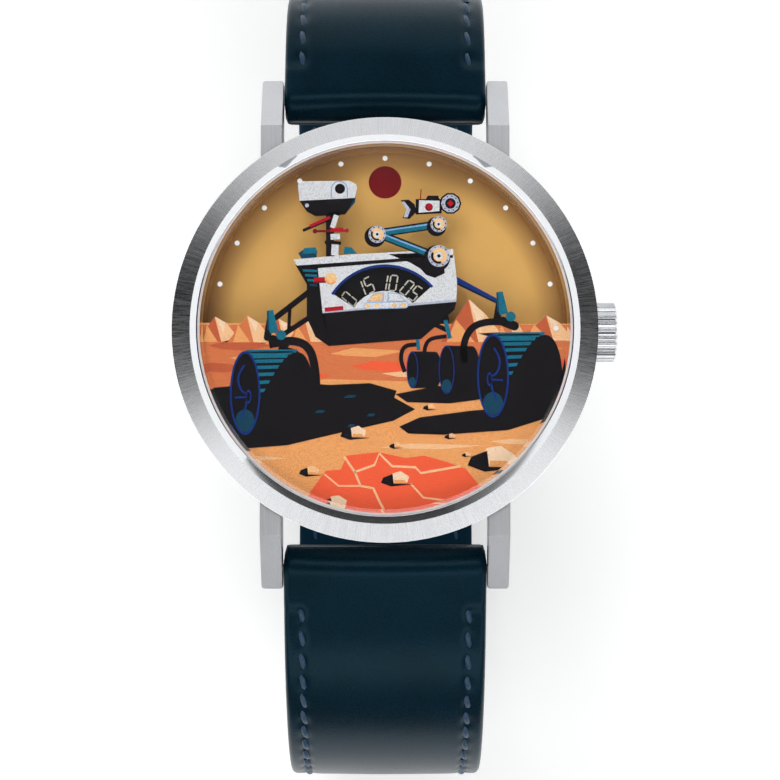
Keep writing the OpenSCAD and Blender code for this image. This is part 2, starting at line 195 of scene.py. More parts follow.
# The bezel's slope is brushed from the centre outwards, its step and outer edge are polished
def bezelSteel():
    material, tree, shader = newMaterial("bezelSteel", {"Metallic": 1.0, "Anisotropic": 0.6})
    flat, radius = fromAxis(tree)
    around = addNode(tree, "VectorMath", {0: flat}, operation="NORMALIZE").outputs["Vector"]
    spread = addNode(tree, "VectorMath", {0: around, "Scale": 230.0}, operation="SCALE").outputs["Vector"]
    along = addNode(tree, "CombineXYZ", {"Z": maths(tree, "MULTIPLY", radius, 420.0)}).outputs["Vector"]
    streakPlace = addNode(tree, "VectorMath", {0: spread, 1: along}, operation="ADD").outputs["Vector"]
    streaks = noiseAt(tree, streakPlace, 1.0, 4.0, 0.7)
    slope = maths(tree, "MULTIPLY", maths(tree, "GREATER_THAN", radius, steel["slopeIn"] * mm),
                  maths(tree, "LESS_THAN", radius, steel["slopeOut"] * mm))
    brushed = mixColours(tree, mapped(tree, streaks, 0.0, 1.0), colour(206, 208, 211), colour(236, 237, 240))
    link(tree, mixColours(tree, slope, steel["polished"], brushed), shader, "Base Color")
    roughSlope = maths(tree, "MULTIPLY", slope, mapped(tree, streaks, 0.2, 0.34))
    smoothRest = maths(tree, "MULTIPLY", maths(tree, "SUBTRACT", 1.0, slope), 0.06)
    link(tree, maths(tree, "ADD", roughSlope, smoothRest), shader, "Roughness")
    tangent = addNode(tree, "Tangent", direction_type="RADIAL", axis="Z").outputs["Tangent"]
    link(tree, tangent, shader, "Tangent")
    relief(tree, shader, streaks, maths(tree, "MULTIPLY", slope, 0.28), 0.012, 0.04)
    return material


def polishedSteel():
    material, tree, shader = newMaterial("polishedSteel", {"Metallic": 1.0})
    smears = grainAt(tree, 260, 3.0)
    paint(tree, shader, smears, steel["polished"], colour(214, 216, 220))
    gloss(tree, shader, smears, 0.05, 0.13)
    relief(tree, shader, grainAt(tree, (9000, 700, 9000)), 0.05, 0.01, 0.08)
    return material


# Steel turned on a lathe, for the case back and the hidden bars
def satinSteel():
    material, tree, shader = newMaterial("satinSteel", {"Metallic": 1.0})
    rings = addNode(tree, "CombineXYZ", {"X": maths(tree, "MULTIPLY", fromAxis(tree)[1], 14000.0)})
    lines = noiseAt(tree, rings.outputs["Vector"], 1.0, 3.0)
    paint(tree, shader, lines, colour(172, 174, 179), colour(206, 208, 211))
    link(tree, maths(tree, "ADD", mapped(tree, lines, 0.2, 0.3), mapped(tree, grainAt(tree, 300), 0.0, 0.08)),
         shader, "Roughness")
    relief(tree, shader, lines, 0.25, 0.008, 0.08)
    return material


def movementBrass():
    material, tree, shader = newMaterial("movementBrass", {"Metallic": 1.0})
    paint(tree, shader, grainAt(tree, 700, 3.0), colour(196, 170, 110), colour(214, 190, 132))
    gloss(tree, shader, grainAt(tree, 9000), 0.25, 0.4)
    return material


# Glass that lets light through to the dial without dark shadows
def crystalGlass():
    material, tree, shader = newMaterial("crystalGlass", {
        "Base Color": (1, 1, 1, 1), "Roughness": 0.0, "IOR": 1.5, "Transmission Weight": 1.0})
    link(tree, mapped(tree, grainAt(tree, 220, 3.0), 0.0, 0.012, 0.45, 0.75), shader, "Roughness")
    clear = addNode(tree, "BsdfTransparent", {"Color": (0.97, 0.98, 0.98, 1)})
    path = addNode(tree, "LightPath")
    mix = addNode(tree, "MixShader", {0: path.outputs["Is Shadow Ray"], 1: shader.outputs["BSDF"],
                                      2: clear.outputs["BSDF"]})
    tree.links.new(mix.outputs["Shader"], tree.nodes["Material Output"].inputs["Surface"])
    return material


def gasketPlastic():
    material, tree, shader = newMaterial("gasketPlastic", {"IOR": 1.5, "Subsurface Weight": 0.3,
                                                           "Subsurface Scale": 0.0005})
    shade = grainAt(tree, 900)
    paint(tree, shader, shade, colour(232, 214, 214), colour(244, 232, 230))
    gloss(tree, shader, shade, 0.25, 0.4)
    return material


# Lacquered ring between the sky disc and the crystal, darker towards the top as painted shade
def flangeLacquer():
    material, tree, shader = newMaterial("flangeLacquer", {"Metallic": 0.55, "Coat Weight": 0.6,
                                                           "Coat Roughness": 0.08})
    height = addNode(tree, "SeparateXYZ", {"Vector": objectPlace(tree)}).outputs["Z"]
    # painted shade: the ring's colour darkens as it rises towards the crystal
    shadeTowardsTop = mapped(tree, height, 0.0, 1.0, 5.0 * mm, 6.8 * mm)
    link(tree, mixColours(tree, shadeTowardsTop, colour(206, 156, 84), colour(112, 72, 34)), shader, "Base Color")
    gloss(tree, shader, grainAt(tree, (350, 350, 900)), 0.24, 0.28)
    return material


# The turning sky: a warm flat tone, darkened towards its rim as painted shade from the ring wall, with a fine print
# grain
def skyPrint():
    material, tree, shader = newMaterial("skyPrint", {"Specular IOR Level": 0.3})
    # rim: painted shade, the sky darkened towards its edge where the ring wall shades it
    rim = mapped(tree, fromAxis(tree)[1], 0.0, 1.0, 13.2 * mm, 15.6 * mm)
    grain = grainAt(tree, 16000, 1.0)
    tone = mixColours(tree, rim, colour(230, 180, 100), colour(150, 106, 56))
    link(tree, mixColours(tree, mapped(tree, grain, 0.0, 0.22), tone, colour(210, 156, 80)), shader, "Base Color")
    gloss(tree, shader, grain, 0.5, 0.65)
    return material


# Opaque inks, their tone held in the piece's own colour attribute
def printedInk(name, grainTone, grainShare):
    material, tree, shader = newMaterial(name, {"Specular IOR Level": 0.12})
    tone = addNode(tree, "VertexColor", layer_name="ink").outputs["Color"]
    grain = grainAt(tree, 13000, 1.0)
    dust = mixColours(tree, mapped(tree, grain, 0.0, grainShare, 0.5, 0.68), tone, grainTone, "MULTIPLY")
    link(tree, dust, shader, "Base Color")
    gloss(tree, shader, grain, 0.48, 0.54)
    return material


def plainInk(name, tone):
    material, tree, shader = newMaterial(name, {"Specular IOR Level": 0.3})
    grain = grainAt(tree, 14000, 1.0)
    paint(tree, shader, grain, tone, tuple(value * 0.86 for value in tone[:3]) + (1.0,))
    gloss(tree, shader, grain, 0.4, 0.55)
    return material


def minuteLacquer():
    material, tree, shader = newMaterial("minuteLacquer", {"Coat Weight": 0.3, "Coat Roughness": 0.2})
    grain = grainAt(tree, 9000)
    paint(tree, shader, grain, colour(18, 18, 22), colour(30, 30, 36))
    gloss(tree, shader, grain, 0.35, 0.5)
    return material


leatherTones = {"outer": colour(0, 22, 34), "outerLight": colour(0, 32, 47), "edge": colour(2, 8, 14),
                "lining": colour(4, 34, 52), "grainSize": 0.2, "grain": 0.5, "wrinkle": 0.5}


# Leather whose "zone" attribute goes from outer face at 0, through cut edge, to lining at 1
def strapLeather():
    material, tree, shader = newMaterial("strapLeather", {"Specular IOR Level": 0.22,
                                                          "Specular Tint": (0.4, 0.8, 1, 1)})
    where = objectPlace(tree)
    zone = addNode(tree, "Attribute", attribute_name="zone").outputs["Fac"]
    cloud = noiseAt(tree, where, 170.0, 4.0)
    pebble = noiseAt(tree, where, 1 / (leatherTones["grainSize"] * mm), 2.0, 0.5)
    fine = noiseAt(tree, where, 9000.0, 2.0)
    outer = mixColours(tree, mapped(tree, cloud, 0.0, 1.0), leatherTones["outer"], leatherTones["outerLight"])
    # painted shade: the low spots of the pebble grain are darkened towards the edge tone
    hollowShade = mixColours(tree, mapped(tree, pebble, 0.7, 1.0, 0.3, 0.55), leatherTones["edge"], outer)
    toEdge = mapped(tree, zone, 0.0, 1.0, 0.12, 0.38)
    toLining = mapped(tree, zone, 0.0, 1.0, 0.62, 0.88)
    painted = mixColours(tree, toEdge, hollowShade, leatherTones["edge"])
    link(tree, mixColours(tree, toLining, painted, leatherTones["lining"]), shader, "Base Color")
    link(tree, maths(tree, "ADD", mapped(tree, fine, 0.25, 0.34), maths(tree, "MULTIPLY", toLining, 0.3)), shader,
         "Roughness")
    height = maths(tree, "ADD", maths(tree, "MULTIPLY", pebble, leatherTones["grain"]),
                   maths(tree, "MULTIPLY", cloud, leatherTones["wrinkle"]))
    height = maths(tree, "ADD", height, maths(tree, "MULTIPLY", fine, 0.18))
    relief(tree, shader, height, 0.45, 0.05)
    return material


def waxedThread():
    material, tree, shader = newMaterial("waxedThread", {"Sheen Weight": 0.1, "Specular IOR Level": 0.5})
    fibres = grainAt(tree, (9000, 3000, 9000), 3.0)
    paint(tree, shader, fibres, colour(4, 40, 66), colour(24, 72, 104))
    gloss(tree, shader, fibres, 0.3, 0.5)
    relief(tree, shader, fibres, 0.5, 0.03)
    return material


finishes = {
    "brushed": brushedSteel(), "bezel": bezelSteel(), "polished": polishedSteel(), "satin": satinSteel(),
    "brass": movementBrass(), "glass": crystalGlass(), "gasket": gasketPlastic(), "flange": flangeLacquer(),
    "sky": skyPrint(), "ink": printedInk("printedInk", colour(150, 84, 60), 0.5),
    "dialInk": printedInk("dialInk", colour(120, 120, 130), 0.15),
    "leather": strapLeather(), "thread": waxedThread(),
}
nodeFinish = {
    "case_middle": "brushed", "bezel": "bezel", "case_back": "satin", "crystal": "glass",
    "crystal_gasket": "gasket", "flange_ring": "flange", "hour_disc": "sky", "movement": "brass",
    "crown_tube": "satin", "crown_stem": "satin", "crown": "polished", "spring_bar_12": "satin",
    "spring_bar_6": "satin", "buckle_frame": "polished", "buckle_bar": "satin", "buckle_tongue": "polished",
}
for node, finish in nodeFinish.items():
    shell = cadNodes[node]
    shell.data.materials.clear()
    shell.data.materials.append(finishes[finish])
print("finishes made and set on", len(nodeFinish), "nodes")


def placePiece(name, vertices, faces, material, body):
    mesh = bpy.data.meshes.new(name)
    mesh.from_pydata([Vector(v) * mm for v in vertices], [], faces)
    mesh.update()
    piece = addObject(name, mesh)
    mesh.materials.append(material)
    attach(piece, body)
    return piece


def outwardNormals(mesh):
    work = bmesh.new()
    work.from_mesh(mesh)
    bmesh.ops.recalc_face_normals(work, faces=work.faces)
    work.to_mesh(mesh)
    work.free()


# The strap's loop in side view, in mm, from six o'clock's spring bar round to twelve's
loopSizes = {"barY": 20.7, "barZ": 1.8, "lean": 20.0, "straight6": 5.0, "straight12": 3.5, "belly6": 25.0,
             "belly12": 22.0, "corner": 15.0, "reach6": 39.2, "reach12": 30.8, "depth": 36.7, "barBack": 4.5}


def loopSegments(sizes):
    lean = math.radians(sizes["lean"])

    def side(reach, straight, belly):
        angle = math.radians(belly)
        shoulder = (reach - sizes["barY"] - straight * math.cos(lean)) / (1 - math.sin(lean))
        low = sizes["barZ"] - straight * math.sin(lean) - shoulder * math.cos(lean)
        wide = (low + sizes["depth"] - sizes["corner"] * (1 - math.sin(angle))) / math.sin(angle)
        level = reach - wide * (1 - math.cos(angle)) - sizes["corner"] * math.cos(angle)
        return shoulder, wide, level
    shoulder6, wide6, level6 = side(sizes["reach6"], sizes["straight6"], sizes["belly6"])
    shoulder12, wide12, level12 = side(sizes["reach12"], sizes["straight12"], sizes["belly12"])

    def arc(radius, turn):
        return (radius * math.radians(turn), math.radians(turn))
    made = [(sizes["straight6"], 0.0), arc(shoulder6, 90 - sizes["lean"]), arc(wide6, sizes["belly6"]),
            arc(sizes["corner"], 90 - sizes["belly6"]), (level6 + level12, 0.0),
            arc(sizes["corner"], 90 - sizes["belly12"]), arc(wide12, sizes["belly12"]),
            arc(shoulder12, 90 - sizes["lean"]), (sizes["straight12"], 0.0)]
    return made, sum(part[0] for part in made[:4]) + level6 - sizes["barBack"]


loopParts, buckleAt = loopSegments(loopSizes)
loopLength = sum(part[0] for part in loopParts)


# Place, outward direction and heading on the loop after a length s
def onLoop(s):
    y, z, heading = -loopSizes["barY"], loopSizes["barZ"], math.radians(180 + loopSizes["lean"])
    for index, (length, turn) in enumerate(loopParts):
        last = s <= length or index == len(loopParts) - 1
        run = s if last else length
        bend = turn * run / length
        if turn == 0:
            y, z = y + run * math.cos(heading), z + run * math.sin(heading)
        else:
            radius = length / turn
            y, z = (y + radius * (math.sin(heading + bend) - math.sin(heading)),
                    z + radius * (math.cos(heading) - math.cos(heading + bend)))
        heading += bend
        if last:
            break
        s -= length
    return Vector((0, y, z)), Vector((0, math.sin(heading), -math.cos(heading))), heading


def smooth(t):
    t = min(1.0, max(0.0, t))
    return t * t * (3 - 2 * t)


strapSizes = {"rollRadius": 2.1, "padWidth": 17.8, "width": 17.4, "padThick": 4.2, "taper": 42.0, "thin": 30.0,
              "shortThick": 2.5, "longThick": 1.9, "longLength": 118.0, "point": 9.0, "ramp": 18.0, "lap": 2.3,
              "slotBack": 0.8, "seamInset": 1.6, "groove": 0.24, "grooveWidth": 0.42, "shoulder": 0.2, "step": 0.4,
              "stitchPitch": 2.25, "holePitch": 6.5, "holes": 7, "holeRadius": 1.2, "holeBack": 2.1,
              "rowStartLong": 3.8, "rowStartShort": 3.3, "rowEndShort": 9.0, "noseNarrower": 0.7,
              "springBarHole": 0.78, "buckleBarHole": 0.64, "tongueSlot": (2.0, 4.4, 6.0)}


def widthAt(s):
    width = strapSizes["padWidth"] + (strapSizes["width"] - strapSizes["padWidth"]) * smooth(s / strapSizes["taper"])
    return width - strapSizes["noseNarrower"] * smooth(-s / strapSizes["rollRadius"] - 0.2)


def thickAt(s, thin):
    if s < 0:
        return 2 * math.sqrt(max(0.0, strapSizes["rollRadius"] ** 2 - s * s))
    return strapSizes["padThick"] + (thin - strapSizes["padThick"]) * smooth(s / strapSizes["thin"])


def climbAt(s):
    return strapSizes["lap"] * smooth((s - buckleAt + strapSizes["ramp"] - 0.5) / strapSizes["ramp"])


# One half of the strap: where a station lies, how thick it is and where its stitched rows run
class StrapHalf:
    def __init__(self, long):
        self.long = long
        self.thin = strapSizes["longThick"] if long else strapSizes["shortThick"]
        self.length = strapSizes["longLength"] if long else loopLength - buckleAt + self.thin / 2
        self.rowStart = strapSizes["rowStartLong"] if long else strapSizes["rowStartShort"]
        self.rowEnd = self.length - strapSizes["point" if long else "rowEndShort"]

    def centre(self, s):
        place, out, heading = onLoop(s if self.long else loopLength - s)
        return place + out * (climbAt(s) if self.long else 0.0), out, heading

    def halfWidth(self, s):
        if self.long and s > self.rowEnd:
            turn = (s - self.rowEnd) / strapSizes["point"]
            return strapSizes["width"] / 2 * math.sqrt(max(0.0, 1 - turn * turn))
        return widthAt(s) / 2

    def halfThick(self, s):
        end = self.thin / 2
        if not self.long and s > self.length - end:
            return math.sqrt(max(0.0, end * end - (s - self.length + end) ** 2))
        return thickAt(s, self.thin) / 2

    # Distance from the row of stitches, less than 0 inside it
    def fromRow(self, x, s):
        inset = strapSizes["seamInset"]
        if self.long and s > self.rowEnd:
            across, ahead = strapSizes["width"] / 2 - inset, strapSizes["point"] - inset
            reach = math.hypot(x / across, (s - self.rowEnd) / ahead)
            return (reach - 1) * (across + ahead) / 2
        return abs(x) - (widthAt(s) / 2 - inset)

    # Height of the outer face (side 1) or the lining (side -1) above the middle layer
    def height(self, x, s, side):
        half, thick = max(0.2, self.halfWidth(s)), self.halfThick(s)
        away = self.fromRow(x, s)
        rowShare = smooth((s - self.rowStart + 1.2) / 1.0) * smooth((self.rowEnd + 9.5 - s) / 1.0)
        dimple = 0.75 + 0.35 * math.cos(2 * math.pi * (s - self.rowStart) / strapSizes["stitchPitch"])
        groove = strapSizes["groove"] * dimple * rowShare * math.exp(-(away / strapSizes["grooveWidth"]) ** 2)
        edge = min(0.5, 0.6 * thick, 0.6 * half)
        over = max(0.0, abs(x) - (half - edge))
        rounding = edge - math.sqrt(max(0.0, edge * edge - min(over, edge) ** 2))
        if side < 0:
            return -(thick - 0.5 * groove - 0.7 * rounding)
        crown = 0.16 * thick * (x / half) ** 2
        step = strapSizes["shoulder"] * smooth((thick - 0.9) / 1.1) * rowShare * smooth((away + 0.25) / 0.7)
        drift = 0.035 * noise.noise(Vector((x * 0.16, s * 0.11, 3.0 if self.long else 7.0)))
        return thick - groove - rounding - crown - step + drift * min(1.0, thick)

    def surface(self, x, s, side, lift=0.0):
        place, out, heading = self.centre(s)
        return Vector((x, 0, 0)) + place + out * (self.height(x, s, side) + side * lift), out * side


# Shares of the half width where the outer face is sampled, closer at the stitch groove and the edge
acrossShares = [0.0, 0.14, 0.28, 0.42, 0.54, 0.62, 0.67, 0.70, 0.725, 0.745, 0.765, 0.785, 0.81, 0.84, 0.875,
                0.91, 0.94, 0.962, 0.98, 0.993]


def strapSection(half, s):
    width = half.halfWidth(s)
    ring = []
    top = [share * width for share in acrossShares]
    for x in top[::-1][:-1]:
        ring.append((x, half.height(x, s, 1), 0.0))
    for x in top:
        ring.append((-x, half.height(x, s, 1), 0.0))
    high, low = half.height(width * 0.993, s, 1), half.height(width * 0.993, s, -1)
    sides = []
    for share in (0.12, 0.3, 0.5, 0.6, 0.66, 0.72, 0.8, 0.92):
        seam = 0.09 * math.exp(-((share - 0.66) / 0.045) ** 2)
        sides.append((width - seam * min(1.0, width), high + (low - high) * share, 0.5))
    ring += [(-x, n, zone) for x, n, zone in sides]
    for x in top[::-1][:-1:2]:
        ring.append((-x, half.height(x, s, -1), 1.0))
    ring.append((0.0, half.height(0.0, s, -1), 1.0))
    for x in top[1::2]:
        ring.append((x, half.height(x, s, -1), 1.0))
    ring += sides[::-1]
    return ring


def strapStations(half):
    made = [-strapSizes["rollRadius"] * math.cos(math.radians(a)) for a in range(6, 91, 7)]
    end = half.rowEnd if half.long else half.length - half.thin / 2
    count = math.ceil(end / strapSizes["step"])
    made += [end * index / count for index in range(1, count + 1)]
    if half.long:
        made += [half.rowEnd + strapSizes["point"] * math.sin(math.radians(a)) for a in range(3, 88, 3)]
    else:
        made += [end + half.thin / 2 * math.sin(math.radians(a)) for a in range(15, 86, 14)]
    return made


def drillRod(radius, length, place, direction, flare=0.0, rim=0.0):
    work = bmesh.new()
    steps = [(-length / 2, radius), (length / 2, radius)]
    if flare:
        steps = [(-length / 2, radius + 0.4), (-rim - 0.25, radius + 0.4), (-rim + flare, radius),
                 (rim - flare, radius), (rim + 0.25, radius + 0.4), (length / 2, radius + 0.4)]
    turns = 28
    rings = [[work.verts.new((r * math.cos(2 * math.pi * k / turns), r * math.sin(2 * math.pi * k / turns), h))
              for k in range(turns)] for h, r in steps]
    for lower, upper in zip(rings, rings[1:]):
        for k in range(turns):
            work.faces.new((lower[k], lower[(k + 1) % turns], upper[(k + 1) % turns], upper[k]))
    work.faces.new(rings[0][::-1])
    work.faces.new(rings[-1])
    work.transform(Matrix.Translation(place) @ direction.to_track_quat("Z", "X").to_matrix().to_4x4())
    bmesh.ops.scale(work, vec=(mm, mm, mm), verts=work.verts)
    return work


def cutAway(piece, drills):
    merged = bpy.data.meshes.new("drills")
    whole = bmesh.new()
    for drill in drills:
        part = bpy.data.meshes.new("drill")
        drill.to_mesh(part)
        drill.free()
        whole.from_mesh(part)
        bpy.data.meshes.remove(part)
    whole.to_mesh(merged)
    whole.free()
    cutter = addObject("drills", merged)
    boolean = piece.modifiers.new("drills", "BOOLEAN")
    boolean.operation = "DIFFERENCE"
    boolean.solver = "EXACT"
    boolean.object = cutter
    evaluated = piece.evaluated_get(bpy.context.evaluated_depsgraph_get())
    result = bpy.data.meshes.new_from_object(evaluated)
    piece.modifiers.clear()
    old = piece.data
    piece.data = result
    result.name = piece.name
    bpy.data.meshes.remove(old)
    bpy.data.objects.remove(cutter)
    bpy.data.meshes.remove(merged)


def makeStrap(name, half, node):
    vertices, faces, zones = [], [], []
    for s in strapStations(half):
        place, out, heading = half.centre(s)
        for x, n, zone in strapSection(half, s):
            vertices.append(place + Vector((x, 0, 0)) + out * n)
            zones.append(zone)
    around = len(strapSection(half, 1.0))
    rows = len(vertices) // around
    for i in range(rows - 1):
        for j in range(around):
            k = (j + 1) % around
            faces.append((i * around + j, i * around + k, (i + 1) * around + k, (i + 1) * around + j))
    faces.append(tuple(range(around))[::-1])
    faces.append(tuple((rows - 1) * around + j for j in range(around)))
    piece = placePiece(name, vertices, faces, finishes["leather"], "watch")
    piece.data.attributes.new("zone", "FLOAT", "POINT").data.foreach_set("value", zones)
    outwardNormals(piece.data)
    piece.data.shade_smooth()
    drills = [drillRod(strapSizes["springBarHole"], 40, half.centre(0)[0], Vector((1, 0, 0)))]
    if half.long:
        for index in range(strapSizes["holes"]):
            s = buckleAt - strapSizes["holeBack"] + (index - 2) * strapSizes["holePitch"]
            place, out, heading = half.centre(s)
            drills.append(drillRod(strapSizes["holeRadius"], 8, place, out, 0.12, half.halfThick(s)))
    else:
        place = onLoop(buckleAt)[0]
        drills.append(drillRod(strapSizes["buckleBarHole"], 40, place, Vector((1, 0, 0))))
        drills.append(tongueSlot(place))
    cutAway(piece, drills)
    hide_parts(node)


# Slot for the tongue in the fold round the buckle's bar
def tongueSlot(place):
    work = bmesh.new()
    bmesh.ops.create_cube(work, size=1.0)
    bmesh.ops.scale(work, vec=strapSizes["tongueSlot"], verts=work.verts)
    bmesh.ops.translate(work, vec=place - Vector((0, strapSizes["slotBack"], 0)), verts=work.verts)
    bmesh.ops.scale(work, vec=(mm, mm, mm), verts=work.verts)
    return work


longHalf, shortHalf = StrapHalf(True), StrapHalf(False)
makeStrap("strapLongLeather", longHalf, "strap_long")
makeStrap("strapShortLeather", shortHalf, "strap_short")
print("straps swept and drilled")


# A Geometry Nodes tree with named inputs
def newTree(name, inputs):
    tree = bpy.data.node_groups.new(name, "GeometryNodeTree")
    tree.interface.new_socket("Geometry", in_out="INPUT", socket_type="NodeSocketGeometry")
    tree.interface.new_socket("Geometry", in_out="OUTPUT", socket_type="NodeSocketGeometry")
    for label, kind in inputs.items():
        tree.interface.new_socket(label, in_out="INPUT", socket_type="NodeSocket" + kind)
    return tree, tree.nodes.new("NodeGroupInput"), tree.nodes.new("NodeGroupOutput")


def geo(tree, kind, inputs=None, **settings):
    return growNode(tree, "GeometryNode" + kind, inputs, **settings)


# Runs a tree on a guide object and returns the result as a plain piece
def grown(guide, tree, values, body):
    modifier = guide.modifiers.new(tree.name, "NODES")
    modifier.node_group = tree
    for item in tree.interface.items_tree:
        if item.in_out == "INPUT" and item.name in values:
            modifier[item.identifier] = values[item.name]
    evaluated = guide.evaluated_get(bpy.context.evaluated_depsgraph_get())
    mesh = bpy.data.meshes.new_from_object(evaluated)
    mesh.name = guide.name
    guide.modifiers.clear()
    old = guide.data
    guide.data = mesh
    bpy.data.meshes.remove(old)
    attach(guide, body)
    return guide


# Stitches along guide lines, each a short arched thread that dips into the leather at its ends
def stitchTree():
    tree, given, out = newTree("stitchRow", {"Pitch": "Float", "Stitch Length": "Float", "Thread Radius": "Float",
                                             "Dip": "Float", "Slant": "Float", "Thread": "Material"})
    rows = geo(tree, "MeshToCurve", {"Mesh": given.outputs["Geometry"]})
    spaced = geo(tree, "ResampleCurve", {"Curve": rows.outputs["Curve"], "Length": given.outputs["Pitch"]},
                 mode="LENGTH")
    outward = geo(tree, "InputNamedAttribute", {"Name": "outward"}, data_type="FLOAT_VECTOR")
    tangent = geo(tree, "InputTangent")
    axes = {"Primary Axis": outward.outputs["Attribute"], "Secondary Axis": tangent.outputs["Tangent"]}
    facing = growNode(tree, "FunctionNodeAxesToRotation", axes, primary_axis="Z", secondary_axis="X")
    turn = addNode(tree, "CombineXYZ", {"Z": given.outputs["Slant"]})
    turns = {"Rotation": facing.outputs["Rotation"], "Rotate By": turn.outputs["Vector"]}
    turned = growNode(tree, "FunctionNodeRotateRotation", turns, rotation_space="LOCAL")
    half = maths(tree, "MULTIPLY", given.outputs["Stitch Length"], 0.5)
    back = maths(tree, "MULTIPLY", half, -1.0)
    down = maths(tree, "MULTIPLY", given.outputs["Dip"], -1.0)
    ends = [addNode(tree, "CombineXYZ", {"X": x, "Z": z}).outputs["Vector"]
            for x, z in ((back, down), (0.0, given.outputs["Dip"]), (half, down))]
    arch = geo(tree, "CurveQuadraticBezier", {"Resolution": 5, "Start": ends[0], "Middle": ends[1], "End": ends[2]})
    section = geo(tree, "CurvePrimitiveCircle", {"Resolution": 7, "Radius": given.outputs["Thread Radius"]})
    thread = geo(tree, "CurveToMesh", {"Curve": arch.outputs["Curve"], "Profile Curve": section.outputs["Curve"],
                                       "Fill Caps": True})
    placed = geo(tree, "InstanceOnPoints", {"Points": spaced.outputs["Curve"], "Instance": thread.outputs["Mesh"],
                                            "Rotation": turned.outputs["Rotation"]})
    real = geo(tree, "RealizeInstances", {"Geometry": placed.outputs["Instances"]})
    soft = geo(tree, "SetShadeSmooth", {"Geometry": real.outputs["Geometry"]})
    done = geo(tree, "SetMaterial", {"Geometry": soft.outputs["Geometry"], "Material": given.outputs["Thread"]})
    tree.links.new(done.outputs["Geometry"], out.inputs["Geometry"])
    return tree


stitching = {"Pitch": 2.25 * mm, "Stitch Length": 1.65 * mm, "Thread Radius": 0.29 * mm, "Dip": 0.24 * mm,
             "Slant": math.radians(10), "Thread": finishes["thread"]}


# Guide lines for the rows of one half, on its outer face and its lining
def stitchRows(half):
    inset, point = strapSizes["seamInset"], strapSizes["point"]
    rows = []
    for side in (1, -1):
        stations = [half.rowStart + 0.5 * k for k in range(int((half.rowEnd - half.rowStart) / 0.5) + 1)]
        right = [(widthAt(s) / 2 - inset, s) for s in stations]
        if half.long:
            across, ahead = strapSizes["width"] / 2 - inset, point - inset
            tip = [(across * math.cos(a), half.rowEnd + ahead * math.sin(a))
                   for a in [math.pi * k / 40 for k in range(1, 40)]]
            rows.append([(x, s, side) for x, s in right + tip + [(-x, s) for x, s in right[::-1]]])
        else:
            rows.append([(x, s, side) for x, s in right])
            rows.append([(-x, s, side) for x, s in right])
    return rows


def guideLines(name, half, rows, lift):
    points, outs, edges = [], [], []
    for row in rows:
        for index, (x, s, side) in enumerate(row):
            place, out = half.surface(x, s, side, lift if side > 0 else lift - 0.14)
            if index:
                edges.append((len(points) - 1, len(points)))
            points.append(place * mm)
            outs += list(out)
    mesh = bpy.data.meshes.new(name)
    mesh.from_pydata(points, edges, [])
    mesh.attributes.new("outward", "FLOAT_VECTOR", "POINT").data.foreach_set("vector", outs)
    guide = addObject(name, mesh)
    return guide


stitchRow = stitchTree()
for name, half in (("stitchesLong", longHalf), ("stitchesShort", shortHalf)):
    grown(guideLines(name, half, stitchRows(half), -0.02), stitchRow, stitching, "watch")
print("stitches laid")

# Leather keepers, loops round both layers of the strap
keeperSizes = {"long": 4.5, "wall": 0.9, "inX": 8.9, "top": 1.35, "bottom": -3.35, "corner": 0.9,
               "fixedY": 2.0, "freeY": 8.7, "crease": 0.75, "creaseDepth": 0.09,
               "creaseWidth": 0.14, "bulge": 0.06, "outerEdge": 0.3, "innerEdge": 0.25}


def keeperPath(sizes):
    half = sizes["wall"] / 2
    x, top, low, r = sizes["inX"] + half, sizes["top"] + half, sizes["bottom"] - half, sizes["corner"]
    path = []
    for cx, cz, start in ((x - r, top - r, 0), (r - x, top - r, 90), (r - x, low + r, 180), (x - r, low + r, 270)):
        for k in range(9):
            a = math.radians(start + 90 * k / 8)
            path.append((Vector((cx + r * math.cos(a), cz + r * math.sin(a))), Vector((math.cos(a), math.sin(a)))))
    full = []
    for index, (place, out) in enumerate(path):
        after, outAfter = path[(index + 1) % len(path)]
        gap = (after - place).length
        pieces = max(1, int(gap / 0.8))
        for k in range(pieces):
            share = k / pieces
            full.append((place.lerp(after, share), out.lerp(outAfter, share).normalized()))
    return full


# How far a rounded edge drops below the flat at y
def rounded(y, half, edge):
    over = max(0.0, abs(y) - (half - edge))
    return edge - math.sqrt(max(0.0, edge * edge - over * over))


def keeperSection(sizes):
    half, wall = sizes["long"] / 2, sizes["wall"] / 2
    ring = []
    for k in range(25):
        y = half * math.sin(math.radians(-90 + 180 * k / 24))
        crease = sizes["creaseDepth"] * math.exp(-((abs(y) - half + sizes["crease"]) / sizes["creaseWidth"]) ** 2)
        height = wall - rounded(y, half, sizes["outerEdge"]) - crease - sizes["bulge"] * (y / half) ** 2
        ring.append((y, height, 0.0 if abs(y) < half - 0.12 else 0.5))
    for k in range(13):
        y = half * math.sin(math.radians(90 - 180 * k / 12)) * 0.985
        ring.append((y, rounded(y, half, sizes["innerEdge"]) - wall, 1.0 if abs(y) < half - 0.2 else 0.5))
    return ring


def makeKeeper(name, node, y, body):
    vertices, faces, zones = [], [], []
    section = keeperSection(keeperSizes)
    path = keeperPath(keeperSizes)
    for place, out in path:
        for along, n, zone in section:
            at = place + out * n
            vertices.append((at.x, y + along, -loopSizes["depth"] + at.y))
            zones.append(zone)
    count, around = len(path), len(section)
    for i in range(count):
        for j in range(around):
            a, b = i * around, ((i + 1) % count) * around
            k = (j + 1) % around
            faces.append((a + j, b + j, b + k, a + k))
    piece = placePiece(name, vertices, faces, finishes["leather"], body)
    piece.data.attributes.new("zone", "FLOAT", "POINT").data.foreach_set("value", zones)
    outwardNormals(piece.data)
    piece.data.shade_smooth()
    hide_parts(node)


makeKeeper("fixedKeeperLeather", "fixed_keeper", keeperSizes["fixedY"], "watch")
makeKeeper("freeKeeperLeather", "free_keeper", keeperSizes["freeY"], "free_keeper")
print("keepers made")


